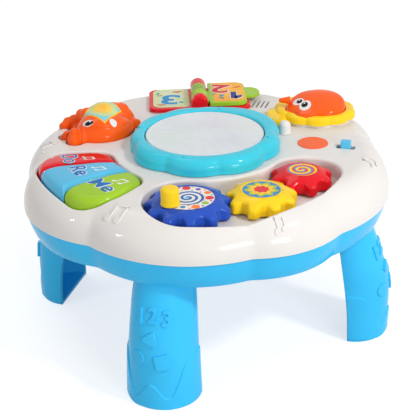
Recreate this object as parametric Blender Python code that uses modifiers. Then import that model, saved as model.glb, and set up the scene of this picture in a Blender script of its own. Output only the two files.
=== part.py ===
"""Musical activity table: a lobed play tray on four legs, with keys, gears, a drum and press pieces.

Metres, +Z up. The origin is on the floor under the middle of the table, with one leg towards -Y.
"""
import math

import bmesh
import bpy
from mathutils import Matrix, Vector

# Casing: a round tray whose outline is a ring of round lobes, over the legs and between them. Each
# lobe has its direction, its reach from the axis and the distance of its own centre from the axis.
CASING_LOBES = (
    (-86.0, 0.1465, 0.045),
    (-45.0, 0.1455, 0.070),
    (0.0, 0.1482, 0.040),
    (45.0, 0.1520, 0.070),
    (90.0, 0.1480, 0.045),
    (137.0, 0.1500, 0.064),
    (180.0, 0.1480, 0.055),
    (223.0, 0.1502, 0.062),
)
TABLE_TOP_Z = 0.149
CASING_SPLIT_Z = 0.1188
SKIRT_BOTTOM_Z = 0.0975
SHOULDER_START_Z = 0.1215
SHOULDER_FRONT_WIDTH = 0.0270
SHOULDER_BACK_WIDTH = 0.0180
SKIRT_LEAN = 0.0068
SKIRT_STEP = 0.0008
SHELL_WALL = 0.0025
GAP = 0.0003
ROUNDING_SHARE = 0.3
OVERRUN = 0.004
BITE = 0.0006
WELD = 0.000005

# Legs: half-round channels, open towards the middle of the table.
LEG_FOOT_CHORD = 0.1255
LEG_TOP_CHORD = 0.111
LEG_FOOT_HALF_WIDTH = 0.029
LEG_TOP_HALF_WIDTH = 0.023
LEG_WIDEST_TIP = 0.1538
LEG_TOP_TIP = 0.1365
LEG_WALL = 0.0028
LEG_SOLE = 0.003
LEG_TOE_ROUND = 0.0025
LEG_TOP_PLATE = 0.003
LEG_TONGUE_INSET = 0.004
LEG_TONGUE_RISE = 0.010
LEG_SOCKET_WALL = 0.0018
LEG_SHAPE_SHARES = (
    (0.0, 1.0, 1.0, 0.97),
    (0.24, 0.92, 0.84, 1.0),
    (0.41, 0.79, 0.71, 0.98),
    (0.51, 0.69, 0.62, 0.91),
    (0.61, 0.58, 0.53, 0.77),
    (0.70, 0.48, 0.45, 0.585),
    (0.82, 0.34, 0.32, 0.355),
    (0.90, 0.21, 0.18, 0.185),
    (1.0, 0.0, 0.0, 0.0),
)
LEG_DIRECTIONS = {"leg_front": -90.0, "leg_right": 0.0, "leg_back": 90.0, "leg_left": 180.0}

# Battery compartment: three AA cells side by side, under a screwed door.
CELL_LENGTH = 0.0505
CELL_RADIUS = 0.00725
CELL_PITCH = 0.0152
CELL_COUNT = 3
CELL_CLEARANCE = 0.0006
CELL_BODY_SHARE = 0.96
CONTACT_SPACE = 0.0032
CONTACT_THICKNESS = 0.0005
CONTACT_STUB_RADIUS = 0.0025
BOX_WALL = 0.002
DOOR_THICKNESS = 0.002
DOOR_LEDGE = 0.003
DOOR_SCREW_SPACE = 0.009

# Screws.
SCREW_RADIUS = 0.0013
SCREW_HEAD_RADIUS = 0.0028
SCREW_HEAD_HEIGHT = 0.0020
PILOT_CLEARANCE = 0.0003
BOSS_RADIUS = 0.0038
BOSS_JOIN_GAP = 0.0003
SHELL_SCREW_HEAD_Z = 0.1085
SHELL_SCREW_LENGTH = 0.020
SHELL_SCREW_PLACES = {
    "shell_screw_back_left": (-0.064, 0.103),
    "shell_screw_left": (-0.123, -0.034),
    "shell_screw_under_gears": (0.042, -0.106),
    "shell_screw_right": (0.116, 0.047),
    "shell_screw_back_right": (0.050, 0.114),
}

# Drum: a bezel on the tray, a sprung disc and the light dish under it.
DRUM_RADIUS = 0.0475
DRUM_TOP_Z = 0.161
DRUM_PLATE = 0.0026
DRUM_CLEARANCE = 0.0006
DRUM_SKIRT_RADIUS = 0.0430
DRUM_SKIRT_WALL = 0.0020
DRUM_SKIRT_BOTTOM_Z = 0.141
DRUM_CATCH_REACH = 0.0028
DRUM_CATCH_HEIGHT = 0.0030
DRUM_CATCH_WIDTH = 0.010
DRUM_CATCH_DIRECTIONS = (30.0, 150.0, 270.0)
BEZEL_CREST_Z = 0.162
BEZEL_BIG_REACH = 0.0610
BEZEL_BIG_CENTRE = 0.016
BEZEL_SMALL_REACH = 0.0610
BEZEL_SMALL_CENTRE = 0.033
BEZEL_SHOULDER = 0.0075
BEZEL_LEDGE_THICKNESS = 0.0030
BEZEL_RIM_CHAMFER = 0.0008
BEZEL_LUG_RADIUS = 0.0026
BEZEL_LUG_RISE = 0.0009
BEZEL_LUG_PLACE = 0.0525
BEZEL_SCREW_PLACE = 0.0545
BEZEL_SCREW_LENGTH = 0.0105
BEZEL_SCREW_DIRECTIONS = {"bezel_screw_a": 0.0, "bezel_screw_b": 120.0, "bezel_screw_c": 240.0}
DISH_FLANGE_RADIUS = 0.0585
DISH_FLANGE_THICKNESS = 0.0020
DISH_RADIUS = 0.0490
DISH_WALL = 0.0018
DISH_FLOOR_Z = 0.134
LED_RADIUS = 0.0025
LED_RING = 0.020
LED_RISE = 0.0016
LED_DIRECTIONS = {"led_red": 90.0, "led_green": 210.0, "led_blue": 330.0}
BOARD_LENGTH = 0.074
BOARD_WIDTH = 0.052
BOARD_THICKNESS = 0.0016
BOARD_Z = 0.1210
BOARD_POST_RADIUS = 0.0026
BOARD_POST_INSET = 0.005
CHIP_SIZE = 0.014
CHIP_HEIGHT = 0.0014
CAPACITOR_RADIUS = 0.0032
CAPACITOR_HEIGHT = 0.0060

# Coil springs: wire radius and turns shared by the press pieces.
SPRING_WIRE_RADIUS = 0.0006
DRUM_SPRING_RADIUS = 0.0070
PRESS_SPRING_RADIUS = 0.0086
SPRING_TURNS = 4
SPRING_POINTS_PER_TURN = 8

# Gears: rounded teeth that mesh in a recess of the tray.
TOOTH_MODULE = 0.0055
TOOTH_TIP = 0.0020
TOOTH_ROOT = 0.0032
TOOTH_SHARPNESS = 1.5
POINTS_PER_TOOTH = 6
BLUE_TEETH = 11
YELLOW_TEETH = 9
RED_TEETH = 8
BLUE_GEAR_PLACE = (0.0145, -0.0985)
YELLOW_FROM_BLUE_DEG = 27.9
RED_FROM_YELLOW_DEG = 62.1
GEAR_TOP_Z = 0.1505
GEAR_BOTTOM_Z = 0.1382
GEAR_SHOULDER_DROP = 0.0050
GEAR_SLOPE_SHARES = (0.25, 0.5)
GEAR_FACE_MARGIN = 0.0082
GEAR_SKIN = 0.0024
GEAR_RIM_WALL = 0.0030
GEAR_HUB_RADIUS = 0.0062
GEAR_SHAFT_RADIUS = 0.0032
GEAR_SHAFT_CLEARANCE = 0.0004
GEAR_SCREW_WASHER_RADIUS = 0.0055
GEAR_SCREW_WASHER = 0.0012
GEAR_SCREW_LENGTH = 0.0080
GEAR_WALL_CLEARANCE = 0.0013
KNOB_RADIUS = 0.00675
KNOB_TOP_Z = 0.1640
KNOB_EDGE = 0.0018
KNOB_FROM_CENTRE = 0.0166
KNOB_DIRECTION_DEG = -122.0
KNOB_STEM_RADIUS = 0.0030
KNOB_STEM_LENGTH = 0.0016
POCKET_FLOOR_Z = 0.1365
POCKET_FLOOR_THICKNESS = 0.0022
POCKET_WALL = 0.0020
POCKET_NEAR_RADIUS = 0.1158
POCKET_RED_SHIFT = (0.0030, 0.0015)
POCKET_RED_CLEARANCE = 0.0028

# Keys: three domed wedges on one rod.
KEYS_MIDDLE_DEG = -135.0
KEYS_HALF_SPAN_DEG = 25.5
KEY_SPLITS_DEG = (11.0, -6.0)
KEYS_INNER = 0.0750
KEYS_OUTER = 0.1350
KEYS_INNER_CORNER = 0.0150
KEYS_OUTER_CORNER = 0.0240
KEY_GAP = 0.0008
KEY_SECTOR_MARGIN_DEG = 6.0
KEY_WELL_CLEARANCE = 0.0009
KEY_WELL_WALL = 0.0018
KEY_WELL_BOTTOM_Z = 0.1330
KEY_BOTTOM_Z = 0.1372
KEY_CREST_Z = 0.1532
KEY_OUTER_Z = 0.1400
KEY_INNER_Z = 0.1512
KEY_WALL = 0.0018
KEY_DOME_SHARES = ((0.0, 0.84), (0.12, 0.93), (0.28, 1.0), (0.45, 0.99), (0.60, 0.92), (0.75, 0.76),
                   (0.88, 0.48), (1.0, 0.0))
KEY_HINGE_PLACE = 0.0805
KEY_HINGE_Z = 0.1410
KEY_ROD_RADIUS = 0.0015
KEY_ROD_CLEARANCE = 0.0003
KEY_ROD_END = 0.0022
KEY_LUG_RADIUS = 0.0032
KEY_LUG_WIDTH = 0.0024
KEY_LUG_INSET = 0.0045
KEY_SPRING_RADIUS = 0.0026
KEY_SPRING_WIRE = 0.0003
KEY_PLUNGER_PLACE = 0.1180
KEY_PLUNGER_RADIUS = 0.0022
KEY_PLUNGER_BOTTOM_Z = 0.1380
KEY_PLUNGER_TOP_SHARE = 0.75
KEY_BOARD_THICKNESS = 0.0016
KEY_PAD_RADIUS = 0.0042
KEY_PAD_TOP_RADIUS = 0.0025
KEY_PAD_HEIGHT = 0.0018
KEY_MAT_START = 0.1020
KEY_MAT_THICKNESS = 0.0006

# Press pieces: the orange elephant and the lion's orange head.
PRESS_TRAVEL = 0.0030
PRESS_STEM_RADIUS = 0.0055
PRESS_STEM_CLEARANCE = 0.0006
PRESS_CATCH_RADIUS = 0.0078
PRESS_CATCH_HEIGHT = 0.0025
PRESS_SKIN = 0.0025
ELEPHANT_CENTRE = (-0.0950, 0.0150)
ELEPHANT_RADIUS = 0.0280
ELEPHANT_TOP_Z = 0.1690
ELEPHANT_EDGE_Z = 0.1530
ELEPHANT_WELL_FLOOR_Z = 0.1435
ELEPHANT_WELL_CLEARANCE = 0.0006
ELEPHANT_WELL_WALL = 0.0018
ELEPHANT_LOBES = (
    (0.0220, 0.0175, 0.0075),
    (0.0120, 0.0270, 0.0085),
    (-0.0115, 0.0270, 0.0085),
    (-0.0260, 0.0165, 0.0075),
    (-0.0330, 0.0020, 0.0055),
    (-0.0215, -0.0195, 0.0078),
    (-0.0110, -0.0285, 0.0080),
)
LION_CENTRE = (0.0740, 0.0855)
LION_HALF_LENGTH = 0.0335
LION_HALF_WIDTH = 0.0290
LION_SCALLOPS = 10
LION_SCALLOP_DEPTH = 0.0012
LION_STAND_INSET = 0.0030
LION_STAND_RISE = 0.0022
LION_BODY_TOP_Z = 0.1580
LION_BODY_EDGE = 0.0030
LION_ARM_PLACE = (0.0490, 0.0660)
LION_ARM_RADIUS = 0.0095
LION_ARM_TOP_Z = 0.1545
LION_HEAD_SHIFT = (0.0020, 0.0010)
LION_HEAD_HALF_LENGTH = 0.0245
LION_HEAD_HALF_WIDTH = 0.0215
LION_HEAD_EDGE_Z = 0.1615
LION_HEAD_TOP_Z = 0.1695
LION_HEAD_BOTTOM_Z = 0.1548
LION_HEAD_CLEARANCE = 0.0006
LION_BODY_FLOOR = 0.0018
LION_SNOUT_RADIUS = 0.0052
LION_SNOUT_PLACE = (0.0465, 0.0830)
LION_SNOUT_LENGTH = 0.0130
LION_SNOUT_Z = 0.1640

# Book: a hinged page on a fixed base, turned about the table's axis.
BOOK_TURN_DEG = 18.4
BOOK_HALF_SPAN = 0.0447
BOOK_NEAR = 0.0785
BOOK_FAR = 0.1310
BOOK_BASE_TOP_Z = 0.1528
BOOK_EDGE = 0.0015
BOOK_STAND_INSET = 0.0010
BOOK_STAND_RISE = 0.0004
SPINE_RADIUS = 0.0070
SPINE_Z = 0.1575
SPINE_NEAR_END = 0.0850
SPINE_FAR_START = 0.1120
SPINE_FAR_END = 0.1270
SPINE_CLEARANCE = 0.0006
BOOK_PIN_RADIUS = 0.0016
BOOK_PIN_CLEARANCE = 0.0003
BOOK_PIN_INSET = 0.0030
PAGE_INNER = SPINE_RADIUS + 2 * SPINE_CLEARANCE
PAGE_OUTER = 0.0405
PAGE_NEAR = 0.0800
PAGE_FAR = 0.1325
PAGE_BOTTOM_Z = 0.1532
PAGE_TOP_Z = 0.1568
TAB_OUTER = 0.0546
TAB_NEAR = 0.1000
TAB_FAR = 0.1180
TAB_TOP_Z = 0.1562
BOOK_SCREW_PLACE = 0.0260
BOOK_SCREW_LENGTH = 0.0052

# Small pieces on the tray.
POST_PLACE = (0.0570, 0.0420)
POST_RADIUS = 0.0048
POST_TOP_Z = 0.1600
POST_ROUND = 0.0035
POST_STEM_RADIUS = 0.0026
POST_STEM_LENGTH = 0.0050
BADGE_PLACE = (0.0834, 0.0251)
BADGE_RADIUS = 0.0123
BADGE_THICKNESS = 0.0006
SWITCH_PLACE = (0.1105, 0.0225)
SWITCH_SLOT_LENGTH = 0.0150
SWITCH_SLOT_WIDTH = 0.0068
SWITCH_SLIDER_LENGTH = 0.0080
SWITCH_SLIDER_WIDTH = 0.0060
SWITCH_SLIDER_TOP_Z = 0.1550
SWITCH_SLIDER_BOTTOM_Z = 0.1440
SWITCH_SLIDER_EDGE = 0.0010
SWITCH_BODY_LENGTH = 0.0185
SWITCH_BODY_WIDTH = 0.0092
SWITCH_BODY_GAP = 0.0008
SWITCH_BODY_BOTTOM_Z = 0.1385
SWITCH_TRACK_CLEARANCE = 0.0004
GRILLE_PLACE = (0.0220, 0.1045)
GRILLE_SLOTS = 4
GRILLE_PITCH = 0.0040
GRILLE_SLOT_WIDTH = 0.0016
GRILLE_SLOT_LENGTH = 0.0180
SPEAKER_PLACE = (0.0212, 0.1010)
SPEAKER_RADIUS = 0.0160
SPEAKER_RIM = 0.0020
SPEAKER_CONE_RADIUS = 0.0080
SPEAKER_DEPTH = 0.0130
SPEAKER_MAGNET_RADIUS = 0.0085
SPEAKER_MAGNET_HEIGHT = 0.0050

# How finely round things are made.
OUTLINE_POINTS = 48
BEZEL_POINTS = 48
BLOB_POINTS = 40
SHOULDER_RINGS = 4
ARC_STEP_DEG = 15.0
ROUND_SEGMENTS = 24
SMALL_SEGMENTS = 10
LEG_POINTS = 10
SMOOTH_ANGLE_DEG = 35.0

WHITE = (0.93, 0.91, 0.89)
SKY = (0.10, 0.56, 0.95)
TURQUOISE = (0.09, 0.60, 0.78)
ORANGE = (1.0, 0.13, 0.01)
YELLOW = (1.0, 0.60, 0.02)
RED = (0.80, 0.01, 0.02)
GREEN = (0.35, 0.58, 0.04)
KEY_BLUE = (0.13, 0.58, 0.85)
DEEP_BLUE = (0.02, 0.08, 0.45)
STEEL = (0.62, 0.62, 0.62)
BOARD_GREEN = (0.02, 0.22, 0.08)
PEARL = (0.72, 0.76, 0.78)
DARK = (0.03, 0.03, 0.03)

PARTS = None
CUTTERS = None


def start_scene():
    """Empties the scene and makes one collection for the parts and one for the cutters."""
    global PARTS, CUTTERS
    for old in list(bpy.data.objects):
        bpy.data.objects.remove(old, do_unlink=True)
    PARTS = bpy.data.collections.new("musical_activity_table")
    CUTTERS = bpy.data.collections.new("cutters")
    bpy.context.scene.collection.children.link(PARTS)
    bpy.context.scene.collection.children.link(CUTTERS)


def material(name, colour, roughness=0.3, metallic=0.0):
    """A Principled material of one colour."""
    made = bpy.data.materials.new(name)
    made.use_nodes = True
    shader = made.node_tree.nodes["Principled BSDF"]
    shader.inputs["Base Color"].default_value = (*colour, 1.0)
    shader.inputs["Roughness"].default_value = roughness
    shader.inputs["Metallic"].default_value = metallic
    made.diffuse_color = (*colour, 1.0)
    return made


def tool(name, mesh):
    """A solid that shapes another one: it is hidden from renders and drawn as wire."""
    made = bpy.data.objects.new(name, mesh)
    made.hide_render = True
    made.display_type = "WIRE"
    CUTTERS.objects.link(made)
    return made


def pivoted(solid, pivot):
    """Puts a solid's origin on its joint's axis and leaves its shape where it is."""
    solid.data.transform(Matrix.Translation(-Vector(pivot)))
    solid.location = pivot
    return solid


def part(name, solid, colour, roughness=0.3, metallic=0.0):
    """Turns a solid into one named sub-part with its own material."""
    CUTTERS.objects.unlink(solid)
    PARTS.objects.link(solid)
    solid.name = name
    solid.hide_render = False
    solid.display_type = "TEXTURED"
    solid.data.materials.append(material(name, colour, roughness, metallic))
    solid.data.shade_smooth()
    solid.data.set_sharp_from_angle(angle=math.radians(SMOOTH_ANGLE_DEG))
    return solid


def boolean(target, other, operation):
    """Adds an exact Boolean to the target."""
    modifier = target.modifiers.new(other.name, "BOOLEAN")
    modifier.operation = operation
    modifier.solver = "EXACT"
    modifier.object = other
    return target


def cut(target, *cutters):
    """Cuts each of the cutters out of the target."""
    for cutter in cutters:
        boolean(target, cutter, "DIFFERENCE")
    return target


def join(target, *others):
    """Joins each of the other solids to the target."""
    for other in others:
        boolean(target, other, "UNION")
    return target


def trim(target, other):
    """Keeps what the target shares with the other solid."""
    return boolean(target, other, "INTERSECT")


def mesh_from(name, bm):
    """Writes a bmesh into a new mesh, with its faces pointing out."""
    bmesh.ops.recalc_face_normals(bm, faces=bm.faces)
    mesh = bpy.data.meshes.new(name)
    bm.to_mesh(mesh)
    bm.free()
    return mesh


def cylinder(name, radius, bottom, top, place=(0.0, 0.0), segments=SMALL_SEGMENTS, top_radius=None):
    """An upright cylinder, or a cone where the top radius differs."""
    bm = bmesh.new()
    bmesh.ops.create_cone(bm, cap_ends=True, segments=segments, radius1=radius,
                          radius2=radius if top_radius is None else top_radius, depth=top - bottom)
    bmesh.ops.translate(bm, verts=bm.verts, vec=(place[0], place[1], (top + bottom) / 2))
    return tool(name, mesh_from(name, bm))


def lying_cylinder(name, radius, start, end, segments=SMALL_SEGMENTS):
    """A cylinder between two points."""
    along = Vector(end) - Vector(start)
    bm = bmesh.new()
    bmesh.ops.create_cone(bm, cap_ends=True, segments=segments, radius1=radius, radius2=radius,
                          depth=along.length)
    turn = along.to_track_quat("Z", "Y").to_matrix().to_4x4()
    middle = Matrix.Translation((Vector(start) + Vector(end)) / 2)
    bmesh.ops.transform(bm, matrix=middle @ turn, verts=bm.verts)
    return tool(name, mesh_from(name, bm))


def box(name, low, high, turn_deg=0.0):
    """A box between two corners, turned about the table's axis."""
    size = [b - a for a, b in zip(low, high)]
    centre = [(a + b) / 2 for a, b in zip(low, high)]
    bm = bmesh.new()
    bmesh.ops.create_cube(bm, size=1.0)
    bmesh.ops.scale(bm, vec=size, verts=bm.verts)
    bmesh.ops.translate(bm, vec=centre, verts=bm.verts)
    bmesh.ops.rotate(bm, verts=bm.verts, cent=(0.0, 0.0, 0.0),
                     matrix=Matrix.Rotation(math.radians(turn_deg), 3, "Z"))
    return tool(name, mesh_from(name, bm))


def bevel(solid, width, segments=2, angle_deg=40.0):
    """Rounds the sharp edges of a solid."""
    modifier = solid.modifiers.new("rounded edges", "BEVEL")
    modifier.width = width
    modifier.segments = segments
    modifier.limit_method = "ANGLE"
    modifier.angle_limit = math.radians(angle_deg)
    return solid


def prism(name, outline, bottom, top):
    """An upright solid over a flat outline: a filled 2D curve, extruded and made a mesh."""
    curve = bpy.data.curves.new(name, "CURVE")
    curve.dimensions = "2D"
    curve.fill_mode = "BOTH"
    curve.extrude = (top - bottom) / 2
    spline = curve.splines.new("POLY")
    spline.points.add(len(outline) - 1)
    for point, (x, y) in zip(spline.points, outline):
        point.co = (x, y, 0.0, 1.0)
    spline.use_cyclic_u = True
    guide = bpy.data.objects.new(name + "_outline", curve)
    CUTTERS.objects.link(guide)
    evaluated = guide.evaluated_get(bpy.context.evaluated_depsgraph_get())
    bm = bmesh.new()
    bm.from_mesh(evaluated.to_mesh())
    evaluated.to_mesh_clear()
    bpy.data.objects.remove(guide, do_unlink=True)
    bmesh.ops.remove_doubles(bm, verts=bm.verts, dist=WELD)
    bmesh.ops.translate(bm, vec=(0.0, 0.0, (top + bottom) / 2), verts=bm.verts)
    return tool(name, mesh_from(name, bm))


def loft(name, sections):
    """A closed solid through rings of points, one above the other, each with the same count."""
    bm = bmesh.new()
    bmesh.ops.create_circle(bm, cap_ends=True, segments=len(sections[0]), radius=1.0)
    bm.verts.ensure_lookup_table()
    ring = list(bm.verts)
    for vert, place in zip(ring, sections[0]):
        vert.co = place
    for section in sections[1:]:
        pairs = zip(ring, ring[1:] + ring[:1])
        edges = [next(e for e in a.link_edges if e.other_vert(a) is b) for a, b in pairs]
        made = bmesh.ops.extrude_edge_only(bm, edges=edges)["geom"]
        fresh = {v for v in made if isinstance(v, bmesh.types.BMVert)}
        ring = [next(e.other_vert(v) for e in v.link_edges if e.other_vert(v) in fresh) for v in ring]
        for vert, place in zip(ring, section):
            vert.co = place
    bmesh.ops.contextual_create(bm, geom=ring)
    return tool(name, mesh_from(name, bm))


def turned(name, profile, place=(0.0, 0.0), segments=ROUND_SEGMENTS):
    """A turned solid: the profile (radius, height) runs down its outer side, and a Screw turns it."""
    mesh = bpy.data.meshes.new(name)
    closed = profile[0][0] > 0.0
    points = [(radius, 0.0, height) for radius, height in profile]
    bm = bmesh.new()
    verts = [bm.verts.new(point) for point in points]
    for a, b in zip(verts, verts[1:] + verts[:1] if closed else verts[1:]):
        bm.edges.new((a, b))
    bm.to_mesh(mesh)
    bm.free()
    made = tool(name, mesh)
    made.location = (place[0], place[1], 0.0)
    screw = made.modifiers.new("turned", "SCREW")
    screw.axis = "Z"
    screw.steps = segments
    screw.render_steps = segments
    screw.use_merge_vertices = True
    screw.merge_threshold = WELD
    return made


def polar(distance, angle_deg, centre=(0.0, 0.0)):
    """The point at a distance and an angle from a centre."""
    angle = math.radians(angle_deg)
    return (centre[0] + distance * math.cos(angle), centre[1] + distance * math.sin(angle))


def arc(centre, radius, start_deg, end_deg):
    """Points along an arc, both ends included, at the common step or finer."""
    steps = max(2, math.ceil(abs(end_deg - start_deg) / ARC_STEP_DEG))
    return [polar(radius, start_deg + (end_deg - start_deg) * i / steps, centre) for i in range(steps + 1)]


def reach_of_circle(angle, offset, radius, direction):
    """How far a ray from the axis goes before it leaves a circle whose centre is offset."""
    swing = angle - direction
    under = radius ** 2 - (offset * math.sin(swing)) ** 2
    if under <= 0.0 or offset * math.cos(swing) + math.sqrt(under) <= 0.0:
        return 0.0
    return offset * math.cos(swing) + math.sqrt(under)


def lobed_reach(angle, lobes):
    """How far a ring of round lobes reaches in a direction."""
    return max(reach_of_circle(angle, centre, reach - centre, math.radians(direction))
               for direction, reach, centre in lobes)


def casing_outline(inset=0.0):
    """The table's outline, drawn in by an inset."""
    outline = []
    for i in range(OUTLINE_POINTS):
        angle = math.tau * i / OUTLINE_POINTS
        reach = lobed_reach(angle, CASING_LOBES) - inset
        outline.append((reach * math.cos(angle), reach * math.sin(angle)))
    return outline


def bezel_outline(inset):
    """The drum bezel's outline: broad lobes towards the legs, narrower ones between them."""
    lobes = [(90.0 * k, BEZEL_BIG_REACH, BEZEL_BIG_CENTRE) for k in range(4)]
    lobes += [(90.0 * k + 45.0, BEZEL_SMALL_REACH, BEZEL_SMALL_CENTRE) for k in range(4)]
    outline = []
    for i in range(BEZEL_POINTS):
        angle = math.tau * i / BEZEL_POINTS
        reach = lobed_reach(angle, lobes) - inset
        outline.append((reach * math.cos(angle), reach * math.sin(angle)))
    return outline


def at_height(outline, height):
    """Lifts a flat outline to a height."""
    return [(x, y, height) for x, y in outline]


def shoulder_width(angle):
    """How broad the rounded shoulder is in a direction: broad in front, narrower behind."""
    behind = (1.0 + math.sin(angle)) / 2
    return SHOULDER_FRONT_WIDTH + (SHOULDER_BACK_WIDTH - SHOULDER_FRONT_WIDTH) * behind


def shoulder_sections(bottom, wall):
    """Rings of the upper casing, from its lower edge up over the rounded shoulder."""
    rings = [at_height(casing_outline(wall), bottom)]
    for i in range(SHOULDER_RINGS + 1):
        rise = math.sin(math.pi / 2 * i / SHOULDER_RINGS)
        spread = math.cos(math.pi / 2 * i / SHOULDER_RINGS)
        height = SHOULDER_START_Z + (TABLE_TOP_Z - wall - SHOULDER_START_Z) * rise
        ring = []
        for k in range(OUTLINE_POINTS):
            angle = math.tau * k / OUTLINE_POINTS
            reach = lobed_reach(angle, CASING_LOBES) - wall - (shoulder_width(angle) - wall) * (1.0 - spread)
            ring.append((reach * math.cos(angle), reach * math.sin(angle), height))
        rings.append(ring)
    return rings


def gear_places():
    """Centres and turns of the three gears, meshed at rest."""
    blue = Vector(BLUE_GEAR_PLACE)
    first = TOOTH_MODULE * (BLUE_TEETH + YELLOW_TEETH) / 2
    second = TOOTH_MODULE * (YELLOW_TEETH + RED_TEETH) / 2
    yellow = blue + Vector(polar(first, YELLOW_FROM_BLUE_DEG))
    red = yellow + Vector(polar(second, RED_FROM_YELLOW_DEG))
    blue_turn = YELLOW_FROM_BLUE_DEG
    yellow_pitch = 360.0 / YELLOW_TEETH
    red_pitch = 360.0 / RED_TEETH
    yellow_turn = YELLOW_FROM_BLUE_DEG + 180.0 + yellow_pitch / 2
    phase = (RED_FROM_YELLOW_DEG - yellow_turn) / yellow_pitch % 1.0
    red_turn = RED_FROM_YELLOW_DEG + 180.0 - red_pitch * (0.5 - phase)
    return {"blue": (tuple(blue), blue_turn, BLUE_TEETH), "yellow": (tuple(yellow), yellow_turn, YELLOW_TEETH),
            "red": (tuple(red), red_turn, RED_TEETH)}


def tip_radius(teeth):
    """Radius over a gear's teeth."""
    return TOOTH_MODULE * teeth / 2 + TOOTH_TIP


def root_radius(teeth):
    """Radius between a gear's teeth."""
    return TOOTH_MODULE * teeth / 2 - TOOTH_ROOT


def tooth_outline(teeth, turn_deg, centre):
    """The rounded teeth: a raised cosine between the root and the tip."""
    outline = []
    count = teeth * POINTS_PER_TOOTH
    for i in range(count):
        angle = math.tau * i / count
        share = ((1.0 + math.cos(teeth * angle)) / 2) ** TOOTH_SHARPNESS
        radius = root_radius(teeth) + (TOOTH_TIP + TOOTH_ROOT) * share
        outline.append(polar(radius, math.degrees(angle) + turn_deg, centre))
    return outline


def circles_crossing(first, first_radius, second, second_radius):
    """The crossing of two circles that lies nearer the table's middle."""
    a, b = Vector(first), Vector(second)
    between = (b - a).length
    along = (first_radius ** 2 - second_radius ** 2 + between ** 2) / (2 * between)
    across = math.sqrt(max(0.0, first_radius ** 2 - along ** 2))
    way = (b - a) / between
    side = Vector((-way.y, way.x))
    return min((a + way * along + side * across, a + way * along - side * across), key=lambda p: p.length)


def angle_of(point, centre=(0.0, 0.0)):
    """The direction of a point seen from a centre, in degrees."""
    return math.degrees(math.atan2(point[1] - centre[1], point[0] - centre[0]))


def pocket_outline(growth=0.0):
    """The gear recess: round ends about the blue and the red gear, an inner arc about the drum and
    an outer arc that touches both ends."""
    gears = gear_places()
    blue = gears["blue"][0]
    red = (gears["red"][0][0] + POCKET_RED_SHIFT[0], gears["red"][0][1] + POCKET_RED_SHIFT[1])
    blue_end = tip_radius(BLUE_TEETH) + GEAR_WALL_CLEARANCE
    red_end = tip_radius(RED_TEETH) + POCKET_RED_CLEARANCE
    centre = circles_crossing(blue, POCKET_NEAR_RADIUS - blue_end, red, POCKET_NEAR_RADIUS - red_end)
    inner_blue = Vector(blue).length - blue_end
    inner_red = Vector(red).length - red_end
    blue_way, red_way = angle_of(blue), angle_of(red)
    blue_near, red_near = angle_of(blue, centre), angle_of(red, centre)
    outline = arc(centre, POCKET_NEAR_RADIUS + growth, blue_near, red_near)
    outline += arc(red, red_end + growth, red_near, red_way + 180.0)[1:]
    steps = math.ceil((red_way - blue_way) / ARC_STEP_DEG)
    for i in range(1, steps):
        share = i / steps
        reach = inner_red + (inner_blue - inner_red) * share
        outline.append(polar(reach - growth, red_way + (blue_way - red_way) * share))
    outline += arc(blue, blue_end + growth, blue_way - 180.0, blue_near)[:-1]
    return outline


def fan_outline(inner, outer, start_deg, end_deg, inner_corners, outer_corners):
    """A fan between two radii and two directions, with a radius at each corner."""
    def corner(radius, distance):
        return math.degrees(math.asin(radius / distance))
    outline = []
    size = inner_corners[0]
    seat = start_deg + corner(size, inner + size)
    outline += arc(polar(inner + size, seat), size, seat - 180.0, start_deg - 90.0)
    size = outer_corners[0]
    seat = start_deg + corner(size, outer - size)
    outline += arc(polar(outer - size, seat), size, start_deg - 90.0, seat)
    size = outer_corners[1]
    seat_end = end_deg - corner(size, outer - size)
    outline += arc((0.0, 0.0), outer, seat, seat_end)[1:-1]
    outline += arc(polar(outer - size, seat_end), size, seat_end, end_deg + 90.0)
    size = inner_corners[1]
    seat = end_deg - corner(size, inner + size)
    outline += arc(polar(inner + size, seat), size, end_deg + 90.0, seat + 180.0)
    first = start_deg + corner(inner_corners[0], inner + inner_corners[0])
    outline += arc((0.0, 0.0), inner, seat, first)[1:-1]
    return outline


def keys_outline(growth):
    """The outline of the whole keyboard, grown on every side."""
    half = KEYS_HALF_SPAN_DEG + math.degrees(growth / KEYS_INNER)
    return fan_outline(KEYS_INNER - growth, KEYS_OUTER + growth, KEYS_MIDDLE_DEG - half,
                       KEYS_MIDDLE_DEG + half, (KEYS_INNER_CORNER + growth,) * 2,
                       (KEYS_OUTER_CORNER + growth,) * 2)


def blob_outline(centre, radius, lobes, growth, count=BLOB_POINTS):
    """A round body with rounded lobes, seen from above."""
    outline = []
    for i in range(count):
        angle = math.tau * i / count
        reach = radius + growth
        for x, y, size in lobes:
            reach = max(reach, reach_of_circle(angle, math.hypot(x, y), size + growth, math.atan2(y, x)))
        outline.append((centre[0] + reach * math.cos(angle), centre[1] + reach * math.sin(angle)))
    return outline


def oval_outline(centre, half_length, half_width, scallops=0, depth=0.0, count=ROUND_SEGMENTS):
    """An oval, with round scallops along it where they are wanted."""
    outline = []
    for i in range(count):
        angle = math.tau * i / count
        wave = depth * abs(math.cos(scallops * angle / 2)) if scallops else 0.0
        outline.append((centre[0] + (half_length + wave) * math.cos(angle),
                        centre[1] + (half_width + wave) * math.sin(angle)))
    return outline


def dome_sections(outline, centre, bottom, edge, top, rings=5):
    """Rings of a domed lid: straight sides up to the edge, then drawn in to the crown."""
    sections = [at_height(outline, bottom)]
    for i in range(rings):
        swing = math.pi / 2 * i / rings
        spread = math.cos(swing)
        height = edge + (top - edge) * math.sin(swing)
        sections.append([(centre[0] + (x - centre[0]) * spread, centre[1] + (y - centre[1]) * spread, height)
                         for x, y in outline])
    return sections


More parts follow.
